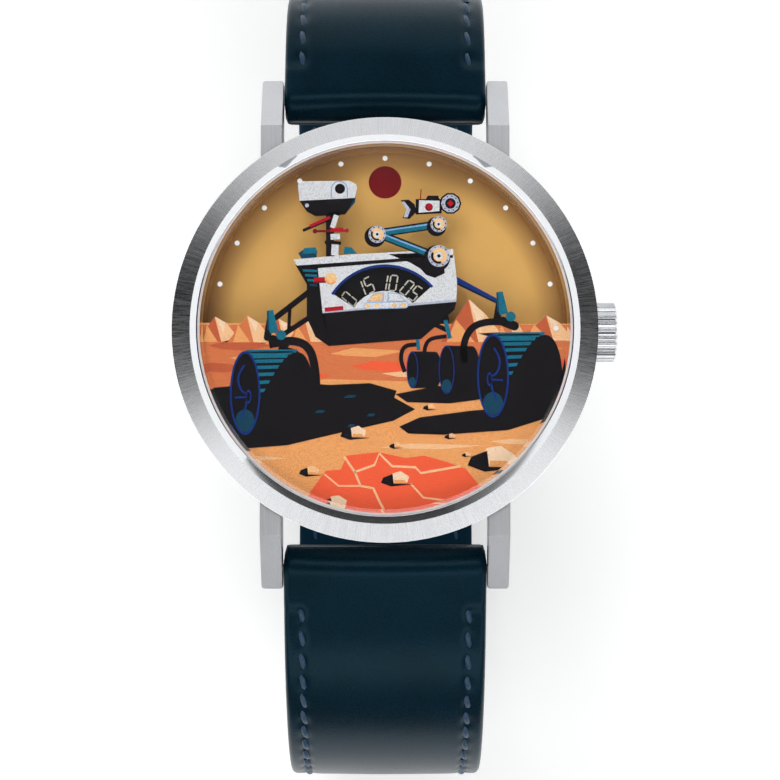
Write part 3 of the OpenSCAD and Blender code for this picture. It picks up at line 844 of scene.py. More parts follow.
# Outlines, in mm
def ellipse(cx, cy, rx, ry=None, start=0, end=360, steps=32):
    ry = rx if ry is None else ry
    last = steps if end - start < 360 else steps - 1
    return [(cx + rx * math.cos(math.radians(start + (end - start) * k / steps)),
             cy + ry * math.sin(math.radians(start + (end - start) * k / steps))) for k in range(last + 1)]


def ringPart(cx, cy, inner, outer, start, end, steps=32):
    return ellipse(cx, cy, outer, outer, start, end, steps) + ellipse(cx, cy, inner, inner, start, end, steps)[::-1]


def bar(a, b, width, endWidth=None):
    a, b = Vector(a), Vector(b)
    side = Vector((a.y - b.y, b.x - a.x)).normalized()
    first, second = side * width / 2, side * (endWidth or width) / 2
    return [tuple(a + first), tuple(a - first), tuple(b - second), tuple(b + second)]


def capsule(a, b, width):
    a, b = Vector(a), Vector(b)
    heading = math.degrees(math.atan2(b.y - a.y, b.x - a.x))
    return (ellipse(a.x, a.y, width / 2, None, heading + 90, heading + 270, 8)
            + ellipse(b.x, b.y, width / 2, None, heading - 90, heading + 90, 8))


# A bent tube or line through the points, its corners eased
def ribbon(points, width, easing=3, endWidth=None):
    points = [Vector(p) for p in points]
    for _ in range(easing):
        eased = [points[0]]
        for a, b in zip(points, points[1:]):
            eased += [a.lerp(b, 0.25), a.lerp(b, 0.75)]
        points = eased + [points[-1]]
    left, right = [], []
    for index, point in enumerate(points):
        before, after = points[max(0, index - 1)], points[min(len(points) - 1, index + 1)]
        side = Vector((before.y - after.y, after.x - before.x)).normalized()
        share = index / (len(points) - 1)
        half = (width + ((endWidth or width) - width) * share) / 2
        left.append(tuple(point + side * half))
        right.append(tuple(point - side * half))
    return left + right[::-1]


def counterclockwise(loop):
    area = sum(a[0] * b[1] - b[0] * a[1] for a, b in zip(loop, loop[1:] + loop[:1]))
    return loop if area > 0 else loop[::-1]


# Flat shapes of ink, each a thin closed plate on its own layer
class InkSheet:
    def __init__(self, low, layer, limit=None):
        self.low, self.layer, self.limit = low, layer, limit
        self.vertices, self.faces, self.tones = [], [], []

    def add(self, outline, inkName, layer, holes=()):
        tone = inks[inkName]
        loops = [outline, *holes]
        clip = self.limit and max(math.hypot(*p) for p in outline) > self.limit
        if clip:
            loops.append(ellipse(0, 0, self.limit, steps=120))
        points, rings = [], []
        for loop in loops:
            rings.append(list(range(len(points), len(points) + len(loop))))
            points += [Vector(p) for p in counterclockwise(list(loop))]
        flat, _, triangles, _, _, owners = delaunay_2d_cdt(points, [], rings, 1, 1e-7)
        kept = []
        for triangle, owner in zip(triangles, owners):
            inHole = any(index in owner for index in range(1, 1 + len(holes)))
            if 0 in owner and not inHole and (not clip or len(rings) - 1 in owner):
                kept.append(triangle)
        base, count = len(self.vertices), len(flat)
        high = self.low + self.layer * (layer + 1)
        self.vertices += [(p.x, p.y, high) for p in flat] + [(p.x, p.y, high - 0.9 * self.layer) for p in flat]
        directed = set()
        for a, b, c in kept:
            directed |= {(a, b), (b, c), (c, a)}
            self.faces += [(base + a, base + b, base + c), (base + count + c, base + count + b, base + count + a)]
            self.tones += [tone, tone]
        for a, b in directed:
            if (b, a) not in directed:
                self.faces.append((base + count + a, base + count + b, base + b, base + a))
                self.tones.append(tone)

    def finish(self, name, material, body, slot):
        piece = placePiece(name, self.vertices, self.faces, material, body)
        work = bmesh.new()
        work.from_mesh(piece.data)
        inkLayer = work.loops.layers.float_color.new("ink")
        for face, tone in zip(work.faces, self.tones):
            for corner in face.loops:
                corner[inkLayer] = tone
        bmesh.ops.delete(work, geom=[v for v in work.verts if not v.link_faces], context="VERTS")
        work.to_mesh(piece.data)
        work.free()
        return piece


inks = {
    "sand": colour(243, 170, 104), "sandLight": colour(250, 200, 150), "sandPale": colour(252, 220, 186),
    "rust": colour(222, 124, 76), "rustDeep": colour(200, 98, 62), "coral": colour(250, 100, 62),
    "night": colour(8, 4, 12), "white": colour(222, 226, 230), "shade": colour(190, 196, 214),
    "teal": colour(12, 112, 138), "tealDeep": colour(6, 66, 92), "blue": colour(6, 50, 130),
    "paleBlue": colour(140, 176, 222), "red": colour(182, 14, 36), "redDeep": colour(120, 8, 30),
    "cream": colour(252, 206, 146), "dialBlack": colour(17, 17, 21), "numeral": colour(226, 222, 206),
    "sun": colour(128, 10, 20), "moon": colour(240, 226, 196), "moonSpot": colour(222, 204, 166),
}
artSizes = {"low": 6.904, "layer": 0.00476, "rivetLayer": 16.2, "limit": 15.92, "fanIn": 3.22, "fanOut": 5.3,
            "fanLeft": 146.5, "fanRight": 42.0, "seed": 11}


def paintLand(art):
    chance = random.Random(artSizes["seed"])
    art.add([(-17, 0.5), (-6, 0.35), (6, 0.35), (17, 0.4), (17, -17), (-17, -17)], "sand", 0)
    art.add([(-17, 0.3), (17, 0.3), (17, -3.4), (9, -4.2), (2, -4.6), (-5, -4.4), (-17, -5.4)], "rust", 1)
    hills = [(-16.2, -14.7, 1.0, -12.4), (-13.6, -11.9, 1.05, -9.6), (-10.8, -9.2, 0.8, -7.2),
             (-8.4, -7.0, 1.0, -4.6), (4.8, 7.2, 2.5, 10.6), (9.2, 10.7, 1.0, 12.4), (11.6, 13.9, 1.1, 16.4)]
    for index, (left, peak, top, right) in enumerate(hills):
        foot = -1.0 - 0.4 * chance.random()
        split = peak + (right - peak) * 0.25
        level = 2 + index % 2
        art.add([(left, foot), (split, foot), (peak, top)], "rust" if index % 2 else "rustDeep", level)
        art.add([(split, foot), (right, foot), (peak + (right - peak) * 0.45, top * 0.45), (peak, top)],
                "sandLight", level)
        art.add([(peak + 0.05, top), (peak + (right - peak) * 0.4, top * 0.5), (split + 0.2, foot * 0.3)],
                "sandPale", 4)
        art.add([(left + 0.5, foot), (left + (peak - left) * 0.55, top * 0.3), (split - 0.3, foot)],
                "sand", 4)
    # long drifts of sand across the plain
    for x, y, long, tall, tone in ((-12.5, -1.5, 5.4, 0.9, "rustDeep"), (-10.4, -2.6, 6.0, 0.8, "sand"),
                                   (-14.2, -3.4, 4.0, 0.9, "rustDeep"), (-1.5, -2.1, 6.5, 0.8, "sand"),
                                   (0.5, -3.3, 7.0, 0.9, "coral"), (-9.0, -4.2, 9.0, 1.3, "coral"),
                                   (3.2, -4.0, 7.0, 0.6, "sandLight"), (12.8, -1.7, 5.0, 0.9, "sand"),
                                   (14.0, -3.0, 4.5, 1.0, "coral"), (11.0, -0.6, 6.0, 0.5, "sandLight"),
                                   (-3.0, -0.9, 5.0, 0.5, "sand"), (12.0, -9.8, 6.0, 0.5, "sandLight"),
                                   (-11.0, -11.2, 5.0, 0.4, "sandLight"), (4.0, -10.2, 9.0, 0.5, "sandLight")):
        skew = 0.3 * (chance.random() - 0.5)
        art.add([(x - long / 2, y + skew), (x - long * 0.2, y + tall / 2), (x + long * 0.25, y + tall * 0.3),
                 (x + long / 2, y - skew), (x + long * 0.1, y - tall / 2), (x - long * 0.3, y - tall * 0.35)],
                tone, 2)
    # dry pan with cracks
    art.add([(-6.5, -14.2), (-5.1, -12.3), (-3.8, -12.2), (-3.3, -11.0), (-0.6, -10.7), (1.8, -11.2), (3.4, -11.0),
             (5.2, -11.5), (6.9, -12.1), (8.0, -13.4), (6.4, -15.2), (0.0, -16.6), (-4.4, -15.8)], "coral", 3)
    for crack, width in (([(-3.5, -11.1), (-2.6, -12.4), (-2.1, -13.6), (-1.0, -13.8), (-0.5, -14.9), (0.1, -16)],
                          0.2),
                         ([(-2.6, -12.4), (-0.9, -11.8), (-0.5, -10.8), (0.6, -11.9), (2.6, -12.0), (3.1, -12.5),
                           (6.5, -11.9)], 0.2),
                         ([(2.2, -13.4), (3.3, -14.6), (5.6, -14.9)], 0.16),
                         ([(-5.2, -12.6), (-4.0, -13.6), (-2.1, -13.6)], 0.14)):
        art.add(ribbon(crack, width, 0), "sandLight", 4)
    for outline in ([(-15.4, -5.2), (-9, -4.6), (-4.8, -4.9), (-1.3, -4.75), (1.0, -5.4), (0.8, -6.0), (2.6, -7.0),
                     (0.7, -8.0), (-4.6, -9.2), (-8.4, -10.1), (-12.2, -10.4), (-14.4, -8.4)],
                    [(1.2, -8.5), (3.0, -7.7), (7.6, -7.1), (14.4, -6.6), (15.4, -7.3), (10.6, -8.8), (5.0, -9.2),
                     (2.0, -9.1)],
                    [(0.9, -5.7), (4.4, -5.0), (9.0, -4.9), (9.4, -6.0), (5.6, -6.5), (1.9, -6.4)]):
        art.add(outline, "night", 4)
    for x, y, size in ((-5.6, -7.2, 0.5), (-3.0, -5.9, 0.6), (-1.2, -7.5, 0.4), (-2.9, -8.4, 0.35)):
        art.add([(x - size, y - 0.12), (x - size * 0.3, y + 0.14), (x + size, y + 0.1), (x + size * 0.4, y - 0.12)],
                "tealDeep", 5)
    for x, y, size in ((-2.7, -9.0, 1.15), (0.9, -10.1, 0.55), (5.6, -9.3, 0.5), (3.8, -6.8, 0.55),
                       (-6.5, -12.3, 0.9), (0.9, -12.95, 1.25), (9.2, -11.2, 2.1), (-4.4, -15.0, 1.2),
                       (7.0, -10.9, 0.4)):
        lean = 0.2 * (chance.random() - 0.5)
        body = [(x - size * 0.55, y - size * 0.1), (x - size * 0.2, y + size * (0.42 + lean)),
                (x + size * 0.35, y + size * 0.5), (x + size * 0.95, y + size * 0.12),
                (x + size * 0.8, y - size * 0.3),
                (x - size * 0.1, y - size * 0.34)]
        art.add(body, "sandPale" if size > 1 else "sandLight", 5)
        art.add([(x - size * 0.1, y - size * 0.34), (x + size * 0.8, y - size * 0.3),
                 (x + size * 0.6, y - size * 0.12),
                 (x - size * 0.08, y - size * 0.1)], "sand", 6)
        art.add([(x - size * 1.0, y - size * 0.3), (x - size * 0.85, y + size * 0.05),
                 (x - size * 0.2, y + size * 0.3),
                 (x - size * 0.12, y - size * 0.36), (x + size * 1.3, y - size * 0.4),
                 (x - size * 0.3, y - size * 0.56)],
                "night", 6)


def paintWheel(art, cx, cy, rx, ry, deep, ribs, layer):
    body = (ellipse(cx + deep, cy, rx, ry * 0.97, -90, 90, 20) + ellipse(cx, cy, rx, ry, 90, 270, 20))
    art.add(body, "night", layer)
    for index in range(ribs):
        low = 84 - index * 11.5
        start = cx + rx * math.cos(math.radians(low))
        y = cy + ry * math.sin(math.radians(low))
        stop = cx + deep * (0.98 - 0.085 * index)
        art.add([(start - 0.02, y + 0.12), (start, y - 0.17), (stop - 0.14, y - 0.12), (stop, y + 0.17)],
                "teal", layer + 1)
    art.add(ellipse(cx, cy, rx, ry), "night", layer + 2)
    art.add(ellipse(cx, cy - ry * 0.66, rx * 0.62, ry * 0.27), "tealDeep", layer + 3)
    rim = 0.16 if rx > 1 else 0.08
    art.add(ellipse(cx, cy, rx, ry), "blue", layer + 4, [ellipse(cx, cy, rx - rim, ry - rim * 1.3)])


def paintRover(art):
    night, white, teal = "night", "white", "teal"
    for a, b, width in (((-6.6, 3.1), (-9.7, 0.7), 0.5), ((-6.4, 1.0), (-9.0, -0.7), 0.45),
                        ((-8.2, 1.9), (-8.3, -0.2), 0.3), ((3.0, 0.9), (5.4, -0.2), 0.4)):
        art.add(bar(a, b, width), night, 5)
    art.add(bar((5.9, 4.25), (10.1, 2.1), 0.62, 0.4), "blue", 5)
    art.add(bar((5.9, 4.02), (10.1, 1.95), 0.16, 0.12), night, 6)
    for path, width in (([(-10.0, -1.4), (-7.9, -1.0), (-6.5, -1.6), (-6.0, -3.4), (-5.9, -5.6)], 0.72),
                        ([(-9.2, -1.9), (-7.6, -2.0), (-7.1, -3.2)], 0.5),
                        ([(11.0, 0.5), (8.8, 0.6), (7.4, 0.1), (6.7, -1.4), (6.9, -3.0)], 0.6),
                        ([(5.3, -0.7), (3.8, -0.9), (3.4, -1.7), (3.4, -2.6)], 0.34),
                        ([(2.9, -1.4), (1.6, -1.5), (1.3, -2.6), (1.7, -3.8)], 0.36)):
        art.add(ribbon(path, width), night, 6)
    paintWheel(art, 2.35, -3.6, 0.5, 1.6, 2.0, 0, 5)
    paintWheel(art, 5.3, -3.6, 0.68, 2.1, 2.2, 0, 6)
    paintWheel(art, -12.05, -5.6, 1.32, 3.62, 4.6, 9, 7)
    paintWheel(art, 9.3, -4.1, 1.38, 3.62, 4.6, 9, 7)
    for cx, cy, flip in ((-12.05, -5.6, 1), (9.3, -4.1, -1)):
        for path in ([(-0.1, 2.4), (-0.75, 1.4), (-0.45, 0.2), (0.25, -0.1)],
                     [(0.2, -0.3), (0.1, -1.2), (-0.4, -2.2)],
                     [(-0.95, -0.4), (0.1, -0.35)]):
            art.add(ribbon([(cx + flip * x * 0.9, cy + y) for x, y in path], 0.16), "blue", 12)
        art.add(ellipse(cx + flip * 0.3, cy - 0.3, 0.24, 0.6), "blue", 12)
        art.add(ellipse(cx + flip * 0.3, cy - 0.3, 0.13, 0.4), night, 13)
    # wheel pivots
    for x, y in ((-9.8, 0.3), (10.0, 1.9)):
        art.add(capsule((x + 0.15, y - 1.3), (x + 1.15, y - 1.7), 0.8), night, 12)
        art.add(capsule((x - 0.35, y - 1.1), (x - 0.1, y + 0.4), 0.62), night, 12)
        art.add(bar((x - 0.1, y + 1.25), (x + 0.25, y - 0.7), 0.5, 0.75), teal, 13)
        art.add(bar((x - 0.32, y + 1.2), (x - 0.25, y - 0.5), 0.16), "tealDeep", 14)
        art.add(ellipse(x + 0.85, y - 0.9, 0.42), teal, 13)
    art.add(bar((5.2, 0.7), (5.6, -0.9), 0.36), teal, 7)
    art.add(bar((2.75, -0.5), (2.9, -1.9), 0.3), teal, 7)
    # body, with the window for the minutes left open
    art.add([(-7.75, 5.5), (-5.6, 5.15), (-5.2, 1.25), (-4.85, -1.55), (-6.0, -0.75), (-6.75, 0.9), (-6.75, 3.8)],
            night, 8)
    art.add([(-5.45, 1.32), (6.15, 2.3), (6.0, 1.6), (3.1, -0.95), (-4.85, -1.55)], night, 8)
    for index in range(4):
        x, y = -7.1 + index * 0.2, 5.0 - index * 0.42
        art.add(bar((x, y), (-5.85, y - 0.05), 0.2), teal if index < 3 else "tealDeep", 9)
    fan = ringPart(0, 0, artSizes["fanIn"], artSizes["fanOut"], artSizes["fanRight"], artSizes["fanLeft"], 40)
    art.add([(-5.8, 5.2), (5.95, 6.3), (6.22, 4.0), (6.15, 2.28), (-5.38, 1.28)], white, 9, [fan])
    art.add(ringPart(0, 0, artSizes["fanOut"], 5.52, artSizes["fanRight"] - 1, artSizes["fanLeft"] + 1), "blue", 10)
    art.add([(-5.38, 1.28), (6.15, 2.28), (6.16, 2.5), (-5.4, 1.42)], "shade", 10)
    art.add([(-7.6, 5.45), (5.85, 6.36), (5.88, 6.1), (-6.9, 5.1)], night, 10)
    art.add([(-7.9, 5.95), (-7.6, 5.42), (5.85, 6.34), (5.92, 6.86), (-3.0, 6.38)], white, 11)
    art.add([(0.3, 6.4), (5.0, 6.6), (5.15, 4.75), (4.3, 4.35), (3.55, 4.6), (3.05, 5.15), (2.2, 5.65)], night, 11)
    art.add(bar((-5.2, 1.58), (-3.6, 1.74), 0.36), "red", 11)
    art.add(bar((-6.15, 4.15), (-4.9, 4.2), 0.46), "red", 11)
    art.add(bar((-6.1, 3.95), (-4.9, 4.0), 0.14), "redDeep", 12)
    art.add(ellipse(-4.68, 4.28, 0.52), "cream", 12)
    art.add(ringPart(-4.68, 4.28, 0.34, 0.52, 190, 330, 16), "sand", 13)
    # instrument panel under the window
    for x0, x1 in ((-1.62, -0.12), (0.22, 1.82)):
        arch = [(x0, 2.32), (x1, 2.32)] + ([(x1, 3.1), (-1.0, 2.96)] if x0 < 0 else [(1.2, 2.96), (x0, 3.1)])
        art.add(arch, "paleBlue", 11)
        middle = Vector(((x0 + x1) / 2 + (0.08 if x0 < 0 else -0.08), 2.6))
        art.add([tuple(middle + (Vector(p) - middle) * 0.86) for p in arch], "cream" if x0 < 0 else white, 12)
    art.add(capsule((-1.55, 1.92), (1.72, 2.02), 0.62), "paleBlue", 11)
    art.add(capsule((-1.55, 1.92), (1.72, 2.02), 0.48), white, 12)
    for x in (-1.5, -0.72, 0.8, 1.6):
        art.add(ellipse(x, 1.95 + x * 0.02, 0.2), "cream", 13)
    # mast and camera head
    art.add([(-7.5, 6.5), (-6.9, 6.9), (-5.9, 6.7), (-5.9, 6.1), (-7.2, 6.0)], "tealDeep", 9)
    art.add([(-7.0, 6.95), (-6.0, 7.0), (-5.8, 6.5), (-7.1, 6.45)], teal, 10)
    art.add([(-3.6, 6.4), (-2.4, 6.45), (-2.9, 7.0), (-3.5, 7.05)], teal, 10)
    for a, b, width, tone, layer in (
            ((-4.75, 6.2), (-4.75, 9.9), 0.7, "night", 11), ((-4.35, 6.3), (-4.3, 7.3), 0.62, "white", 12),
            ((-5.2, 7.45), (-3.8, 7.35), 0.3, "night", 12), ((-4.7, 7.9), (-3.9, 7.95), 0.5, "white", 12),
            ((-7.1, 8.45), (-4.7, 9.5), 0.26, "night", 11), ((-6.5, 8.85), (-4.75, 9.62), 0.26, "red", 12),
            ((-6.0, 8.4), (-3.4, 8.45), 0.2, "redDeep", 12), ((-4.7, 8.5), (-3.6, 8.55), 0.34, "red", 13),
            ((-4.55, 8.7), (-4.2, 9.8), 0.44, "white", 13), ((-4.9, 9.9), (-3.9, 9.9), 0.3, "night", 12)):
        art.add(bar(a, b, width), tone, layer)
    art.add(ellipse(-6.05, 8.4, 0.2), "redDeep", 13)
    art.add(ellipse(-3.3, 8.46, 0.18), "red", 13)
    art.add([(-7.55, 12.45), (-7.35, 12.75), (-3.1, 12.8), (-2.5, 12.5), (-2.42, 12.1), (-2.6, 11.3), (-7.4, 11.05)],
            white, 12)
    art.add([(-7.4, 11.05), (-2.6, 11.3), (-3.45, 9.85), (-6.0, 9.7), (-6.75, 10.1)], night, 12)
    art.add([(-2.6, 11.3), (-2.42, 12.1), (-2.6, 10.9), (-3.45, 9.85)], "tealDeep", 13)
    art.add(ellipse(-3.95, 12.02, 0.74, 0.78, 0, 180, 16) + [(-4.69, 11.3), (-3.21, 11.36)], "paleBlue", 13)
    art.add(ellipse(-3.95, 12.02, 0.64, 0.68, 0, 180, 16) + [(-4.59, 11.32), (-3.31, 11.36)], white, 14)
    art.add(ellipse(-3.9, 12.1, 0.44), "night", 15)
    art.add(ellipse(-6.75, 10.65, 0.17), "shade", 13)
    # arm, its joints and the tool
    for a, b in (((4.4, 6.2), (-0.7, 8.2)), ((-0.7, 8.2), (4.4, 8.95))):
        art.add(bar(a, b, 0.74), night, 12)
        art.add(bar(a, b, 0.5), teal, 13)
        lift = Vector((0.0, 0.14))
        art.add(bar(tuple(Vector(a) + lift), tuple(Vector(b) + lift), 0.12), "paleBlue", 14)
    art.add([(1.35, 11.1), (2.05, 11.15), (2.55, 10.75), (2.75, 10.1), (2.1, 9.45), (1.5, 9.55), (1.9, 10.3)], night,
            12)
    art.add([(1.42, 10.95), (1.68, 10.98), (2.2, 10.3), (1.95, 9.6), (1.6, 9.6), (1.85, 10.3)], "shade", 13)
    art.add([(2.65, 9.85), (4.9, 9.95), (4.9, 11.2), (2.65, 11.2)], night, 12)
    art.add([(2.9, 10.0), (4.7, 10.15), (4.72, 11.05), (2.95, 11.1)], white, 13)
    art.add(ellipse(3.8, 10.5, 0.34), "redDeep", 14)
    art.add(ellipse(3.83, 10.53, 0.24), "red", 15)
    art.add([(3.5, 11.15), (3.7, 11.5), (4.6, 11.5), (4.7, 11.15)], night, 12)
    art.add(bar((3.05, 11.2), (3.12, 12.05), 0.09), "red", 13)
    art.add(ellipse(5.65, 10.82, 0.95, steps=10), night, 13)
    art.add(ellipse(5.65, 10.82, 0.8, steps=10), "shade", 14)
    art.add(ellipse(5.65, 10.82, 0.46), "night", 15)
    for x, y, r in ((-0.74, 8.07, 0.92), (4.57, 8.95, 0.85), (4.59, 6.19, 1.15)):
        art.add(ellipse(x - 0.12, y - 0.14, r), night, 14)
        art.add(ellipse(x + 0.06, y + 0.06, r * 0.82), "shade", 15)
        art.add(ellipse(x + 0.06, y + 0.06, r * 0.6), "cream", 16)
        art.add(ellipse(x + 0.06, y + 0.06, r * 0.3), white, 17)
        art.add(ellipse(x + 0.06, y + 0.06, r * 0.13), night, 18)
        art.add(ringPart(x + 0.06, y + 0.06, r * 0.42, r * 0.6, 150, 290, 14), night, 17)
    art.add(bar((5.5, 10.67), (5.8, 10.97), 0.42), "red", 16)


land = InkSheet(artSizes["low"], artSizes["layer"], artSizes["limit"])
paintLand(land)
paintRover(land)
print("dial scene:", len(land.faces), "faces, top at", max(v[2] for v in land.vertices))
dialScene = land.finish("dialScene", finishes["ink"], "watch", "scene_inks")
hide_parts("scene_print")


# Small flat dots in a ring, as printed marks
def dotTree():
    tree, given, out = newTree("dotRing", {"Count": "Int", "Radius": "Float", "First Angle": "Float",
                                           "Step": "Float", "Dot Radius": "Float", "Thickness": "Float",
                                           "Centre": "Vector", "Ink": "Material"})
    points = geo(tree, "Points", {"Count": given.outputs["Count"]})
    index = geo(tree, "InputIndex").outputs["Index"]
    angle = maths(tree, "MULTIPLY_ADD", index, given.outputs["Step"], given.outputs["First Angle"])
    x = maths(tree, "MULTIPLY", maths(tree, "SINE", angle), given.outputs["Radius"])
    y = maths(tree, "MULTIPLY", maths(tree, "COSINE", angle), given.outputs["Radius"])
    spot = addNode(tree, "CombineXYZ", {"X": x, "Y": y})
    moved = addNode(tree, "VectorMath", {0: spot.outputs["Vector"], 1: given.outputs["Centre"]}, operation="ADD")
    placed = geo(tree, "SetPosition", {"Geometry": points.outputs["Geometry"], "Position": moved.outputs["Vector"]})
    dot = geo(tree, "MeshCylinder", {"Vertices": 16, "Radius": given.outputs["Dot Radius"],
                                     "Depth": given.outputs["Thickness"]})
    spread = geo(tree, "InstanceOnPoints", {"Points": placed.outputs["Geometry"], "Instance": dot.outputs["Mesh"]})
    real = geo(tree, "RealizeInstances", {"Geometry": spread.outputs["Instances"]})
    done = geo(tree, "SetMaterial", {"Geometry": real.outputs["Geometry"], "Material": given.outputs["Ink"]})
    tree.links.new(done.outputs["Geometry"], out.inputs["Geometry"])
    return tree


dotRing = dotTree()
hourDots = {"Count": 12, "Radius": 14.75 * mm, "First Angle": math.radians(-75), "Step": math.radians(15),
            "Dot Radius": 0.22 * mm, "Thickness": 0.008 * mm, "Centre": (0, 0, 6.99 * mm)}
rivetDots = {"Count": 10, "First Angle": 0.2, "Step": math.radians(36), "Dot Radius": 0.06 * mm,
             "Thickness": 0.002 * mm}


whiteInk, nightInk = plainInk("whiteInk", colour(246, 246, 248)), plainInk("nightInk", inks["night"])


def dots(name, values, ink, body):
    mesh = bpy.data.meshes.new(name)
    guide = addObject(name, mesh)
    return grown(guide, dotRing, dict(values, Ink=ink), body)


dots("hourDots", hourDots, whiteInk, "watch")
rivetHeight = artSizes["low"] + artSizes["layer"] * artSizes["rivetLayer"]
for index, (x, y, r) in enumerate(((-0.68, 8.13, 0.92), (4.63, 9.01, 0.85), (4.65, 6.25, 1.15), (5.65, 10.82, 0.9))):
    dots("jointRivets%d" % index, dict(rivetDots, Radius=r * 0.71 * mm, Centre=(x * mm, y * mm, rivetHeight * mm)),
         nightInk, "watch")

# Discs: the sun on the sky disc, numerals on the minute disc
discSizes = {"skyTop": 4.8, "minuteTop": 6.05, "sunAt": 12.9, "sunRadius": 1.42, "numeralRadius": 4.02,
             "faceRadius": 5.56,
             "postRadius": 0.62, "moonRadius": 1.1, "digitTall": 1.34, "digitWide": 0.6, "digitGap": 0.26,
             "stroke": 0.12, "tenAt": 4.0,
             "inkThick": 0.01,
             "slant": 0.1}
digitStrokes = {"0": "abcdef", "1": "bc", "2": "abged", "3": "abgcd", "4": "fgbc", "5": "afgcd", "6": "afgecd",
                "7": "abc", "8": "abcdefg", "9": "abcdfg"}
strokeEnds = {"a": ((0, 1), (1, 1)), "b": ((1, 1), (1, 0.5)), "c": ((1, 0.5), (1, 0)), "d": ((0, 0), (1, 0)),
              "e": ((0, 0.5), (0, 0)), "f": ((0, 1), (0, 0.5)), "g": ((0, 0.5), (1, 0.5))}


def numeralShapes(sizes):
    for minute in range(0, 60, 5):
        turn = math.radians(sizes["tenAt"] - (minute - 10) * 6)
        for place, digit in enumerate("%02d" % minute):
            left = (place - 0.5) * (sizes["digitWide"] + sizes["digitGap"]) - sizes["digitWide"] / 2
            for stroke in digitStrokes[digit]:
                ends = []
                for u, v in strokeEnds[stroke]:
                    x = left + u * sizes["digitWide"]
                    y = sizes["numeralRadius"] - sizes["digitTall"] / 2 + v * sizes["digitTall"]
                    x += (y - sizes["numeralRadius"]) * sizes["slant"]
                    ends.append(Vector((x, y)))
                trim = (ends[1] - ends[0]).normalized() * sizes["stroke"] * 0.75
                a, b = ends[0] + trim, ends[1] - trim
                side = Vector((a.y - b.y, b.x - a.x)).normalized() * sizes["stroke"] / 2
                end = trim * 0.6
                outline = [a - end, a - side, b - side, b + end, b + side, a + side]
                yield [(p.x * math.cos(turn) + p.y * math.sin(turn), -p.x * math.sin(turn) + p.y * math.cos(turn))
                       for p in outline]


numerals = InkSheet(discSizes["minuteTop"], discSizes["inkThick"])
numerals.add(ellipse(0, 0, discSizes["faceRadius"], steps=96), "dialBlack", 0,
             [ellipse(0, 0, discSizes["postRadius"], steps=32)])
for outline in numeralShapes(discSizes):
    numerals.add(outline, "numeral", 1)
numerals.finish("minuteNumerals", finishes["dialInk"], "minute_disc", "minute_black")
sky = InkSheet(discSizes["skyTop"], discSizes["inkThick"])
sky.add(ellipse(0, discSizes["sunAt"], discSizes["sunRadius"], steps=64), "sun", 0)
sky.add(ellipse(0, -discSizes["sunAt"], discSizes["moonRadius"], steps=48), "moon", 0)
sky.add(ellipse(0.35, -discSizes["sunAt"] + 0.2, 0.28), "moonSpot", 1)
sky.add(ellipse(-0.35, -discSizes["sunAt"] - 0.3, 0.2), "moonSpot", 1)
sky.finish("sunAndMoon", finishes["dialInk"], "hour_disc", "sky_disc")


cadNodes["minute_disc"].data.materials.clear()
cadNodes["minute_disc"].data.materials.append(minuteLacquer())
print("dial and discs painted")

# Floor, world and lamps
stageSizes = {"floorRadius": 0.7, "floorBelow": 4.25, "floorGlow": 0.36, "cardRadius": 0.15, "cardLow": -0.0405,
              "cardHigh": 0.002, "worldStrength": 2.0}
lamps = {
    "keySoft": {"place": (-0.22, 0.52, 0.56), "size": (0.34, 0.34), "power": 1.65},
    "fillSoft": {"place": (0.1, -0.6, 0.5), "size": (0.5, 0.3), "power": 1.1},
}


def makeFloor(sizes):
    height = -(loopSizes["depth"] + sizes["floorBelow"]) * mm - 0.00002  # just clear of the keepers
    work = bmesh.new()
    bmesh.ops.create_circle(work, cap_ends=True, segments=96, radius=sizes["floorRadius"])
    bmesh.ops.translate(work, vec=(0, 0, height), verts=work.verts)
    mesh = bpy.data.meshes.new("floor")
    work.to_mesh(mesh)
    work.free()
    floor = addObject("floor", mesh)
    material, tree, shader = newMaterial("palePaper", {"Specular IOR Level": 0.2, "Roughness": 0.8})
    paint(tree, shader, grainAt(tree, 900, 3.0), (0.93, 0.93, 0.93, 1), (0.96, 0.96, 0.96, 1))
    shader.inputs["Emission Color"].default_value = (1, 1, 1, 1)
    shader.inputs["Emission Strength"].default_value = sizes["floorGlow"]
    mesh.materials.append(material)


# A soft room by height of the light: over twelve o'clock, over six, and at the sides
roomLight = {
    "twelve": ((0.0, 0.8), (0.06, 0.95), (0.5, 0.95), (0.58, 0.3), (0.64, 0.08), (0.88, 0.08), (0.915, 3.2),
               (0.955, 3.2), (0.975, 0.1), (1.0, 0.09)),
    "six": ((0.0, 0.12), (0.24, 0.15), (0.32, 1.7), (0.54, 1.7), (0.62, 0.1), (0.78, 0.1), (0.84, 2.0), (0.91, 2.0),
            (0.95, 0.12), (1.0, 0.09)),
    "sides": ((0.0, 1.1), (0.07, 1.0), (0.12, 0.02), (0.7, 0.01), (0.85, 0.1), (1.0, 0.09)),
}


def lightRamp(tree, height, stops):
    ramp = addNode(tree, "ValToRGB", {"Fac": height})
    ramp.color_ramp.interpolation = "EASE"
    for index, (place, value) in enumerate(stops):
        stop = ramp.color_ramp.elements[index] if index < 2 else ramp.color_ramp.elements.new(place)
        stop.position = place
        stop.color = (value / 2, value / 2, value / 2, 1)
    return ramp.outputs["Color"]


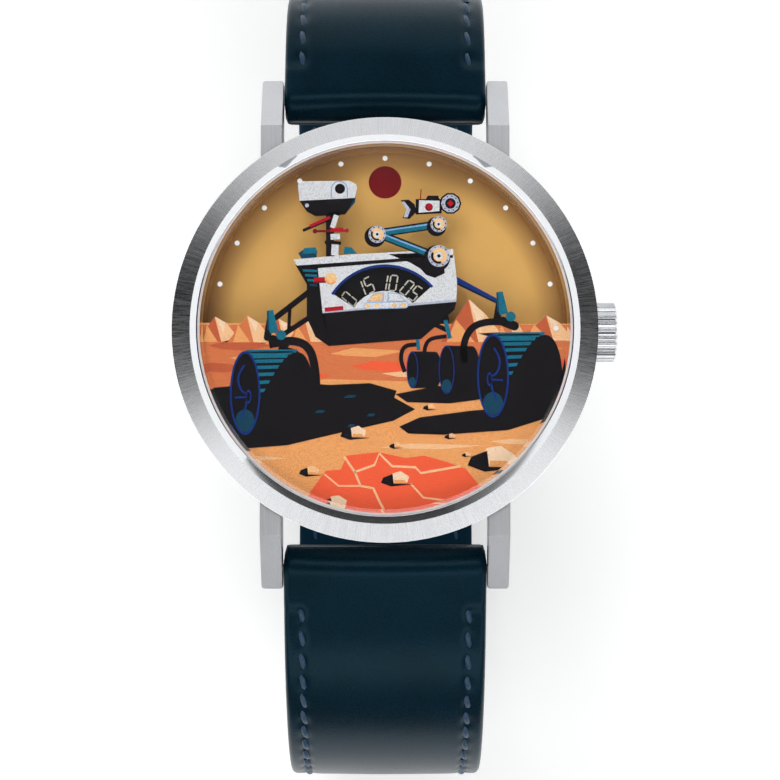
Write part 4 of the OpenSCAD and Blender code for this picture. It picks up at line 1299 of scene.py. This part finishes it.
def makeWorld():
    world = bpy.data.worlds.new("studio")
    world.use_nodes = True
    bpy.context.scene.world = world
    tree = world.node_tree
    direction = addNode(tree, "TexCoord").outputs["Generated"]
    height = addNode(tree, "SeparateXYZ", {"Vector": direction}).outputs["Z"]
    flat = addNode(tree, "VectorMath", {0: direction, 1: (1, 1, 0)}, operation="MULTIPLY").outputs["Vector"]
    level = addNode(tree, "VectorMath", {0: flat}, operation="NORMALIZE").outputs["Vector"]
    ahead = addNode(tree, "SeparateXYZ", {"Vector": level}).outputs["Y"]
    ends = mixColours(tree, mapped(tree, ahead, 0.0, 1.0, -0.05, 0.05), lightRamp(tree, height, roomLight["six"]),
                      lightRamp(tree, height, roomLight["twelve"]))
    share = maths(tree, "ADD", mapped(tree, ahead, 0.0, 1.0, 0.5, 0.88), mapped(tree, ahead, 1.0, 0.0, -0.5, -0.15))
    room = mixColours(tree, share, lightRamp(tree, height, roomLight["sides"]), ends)
    background = tree.nodes["Background"]
    tree.links.new(room, background.inputs["Color"])
    background.inputs["Strength"].default_value = stageSizes["worldStrength"]


# A curved black card low in front of six o'clock, seen only in reflections, fading to grey at three o'clock
def makeCard(sizes):
    vertices, faces, steps = [], [], 36
    for k in range(steps + 1):
        angle = math.radians(-140 + 150 * k / steps)
        for z in (sizes["cardLow"], sizes["cardHigh"]):
            vertices.append((sizes["cardRadius"] * math.cos(angle), sizes["cardRadius"] * math.sin(angle), z))
    for k in range(steps):
        faces.append((2 * k, 2 * k + 2, 2 * k + 3, 2 * k + 1))
    mesh = bpy.data.meshes.new("card")
    mesh.from_pydata(vertices, [], faces)
    card = addObject("card", mesh)
    material, tree, shader = newMaterial("cardPaper", {"Base Color": (0.02, 0.02, 0.02, 1), "Roughness": 0.9})
    where = addNode(tree, "TexCoord").outputs["Object"]
    right = addNode(tree, "SeparateXYZ", {"Vector": where}).outputs["X"]
    shader.inputs["Emission Color"].default_value = (1, 1, 1, 1)
    link(tree, mapped(tree, right, 0.02, 0.4, 0.05, 0.15), shader, "Emission Strength")
    mesh.materials.append(material)
    for reach in ("visible_camera", "visible_diffuse", "visible_shadow", "visible_transmission"):
        setattr(card, reach, False)


# Lamps light the piece, while its reflections come from the room
def makeLamp(name, place, size, power):
    data = bpy.data.lights.new(name, "AREA")
    data.shape = "RECTANGLE"
    data.size, data.size_y = size
    data.energy = power
    lamp = addObject(name, data)
    lamp.location = place
    lamp.visible_glossy = False
    lamp.rotation_mode = "QUATERNION"
    lamp.rotation_quaternion = (-Vector(place)).to_track_quat("-Z", "Y")


makeFloor(stageSizes)
makeCard(stageSizes)
makeWorld()
for name, values in lamps.items():
    makeLamp(name, **values)
bpy.context.scene.view_settings.view_transform = "Standard"

print("scene ready")
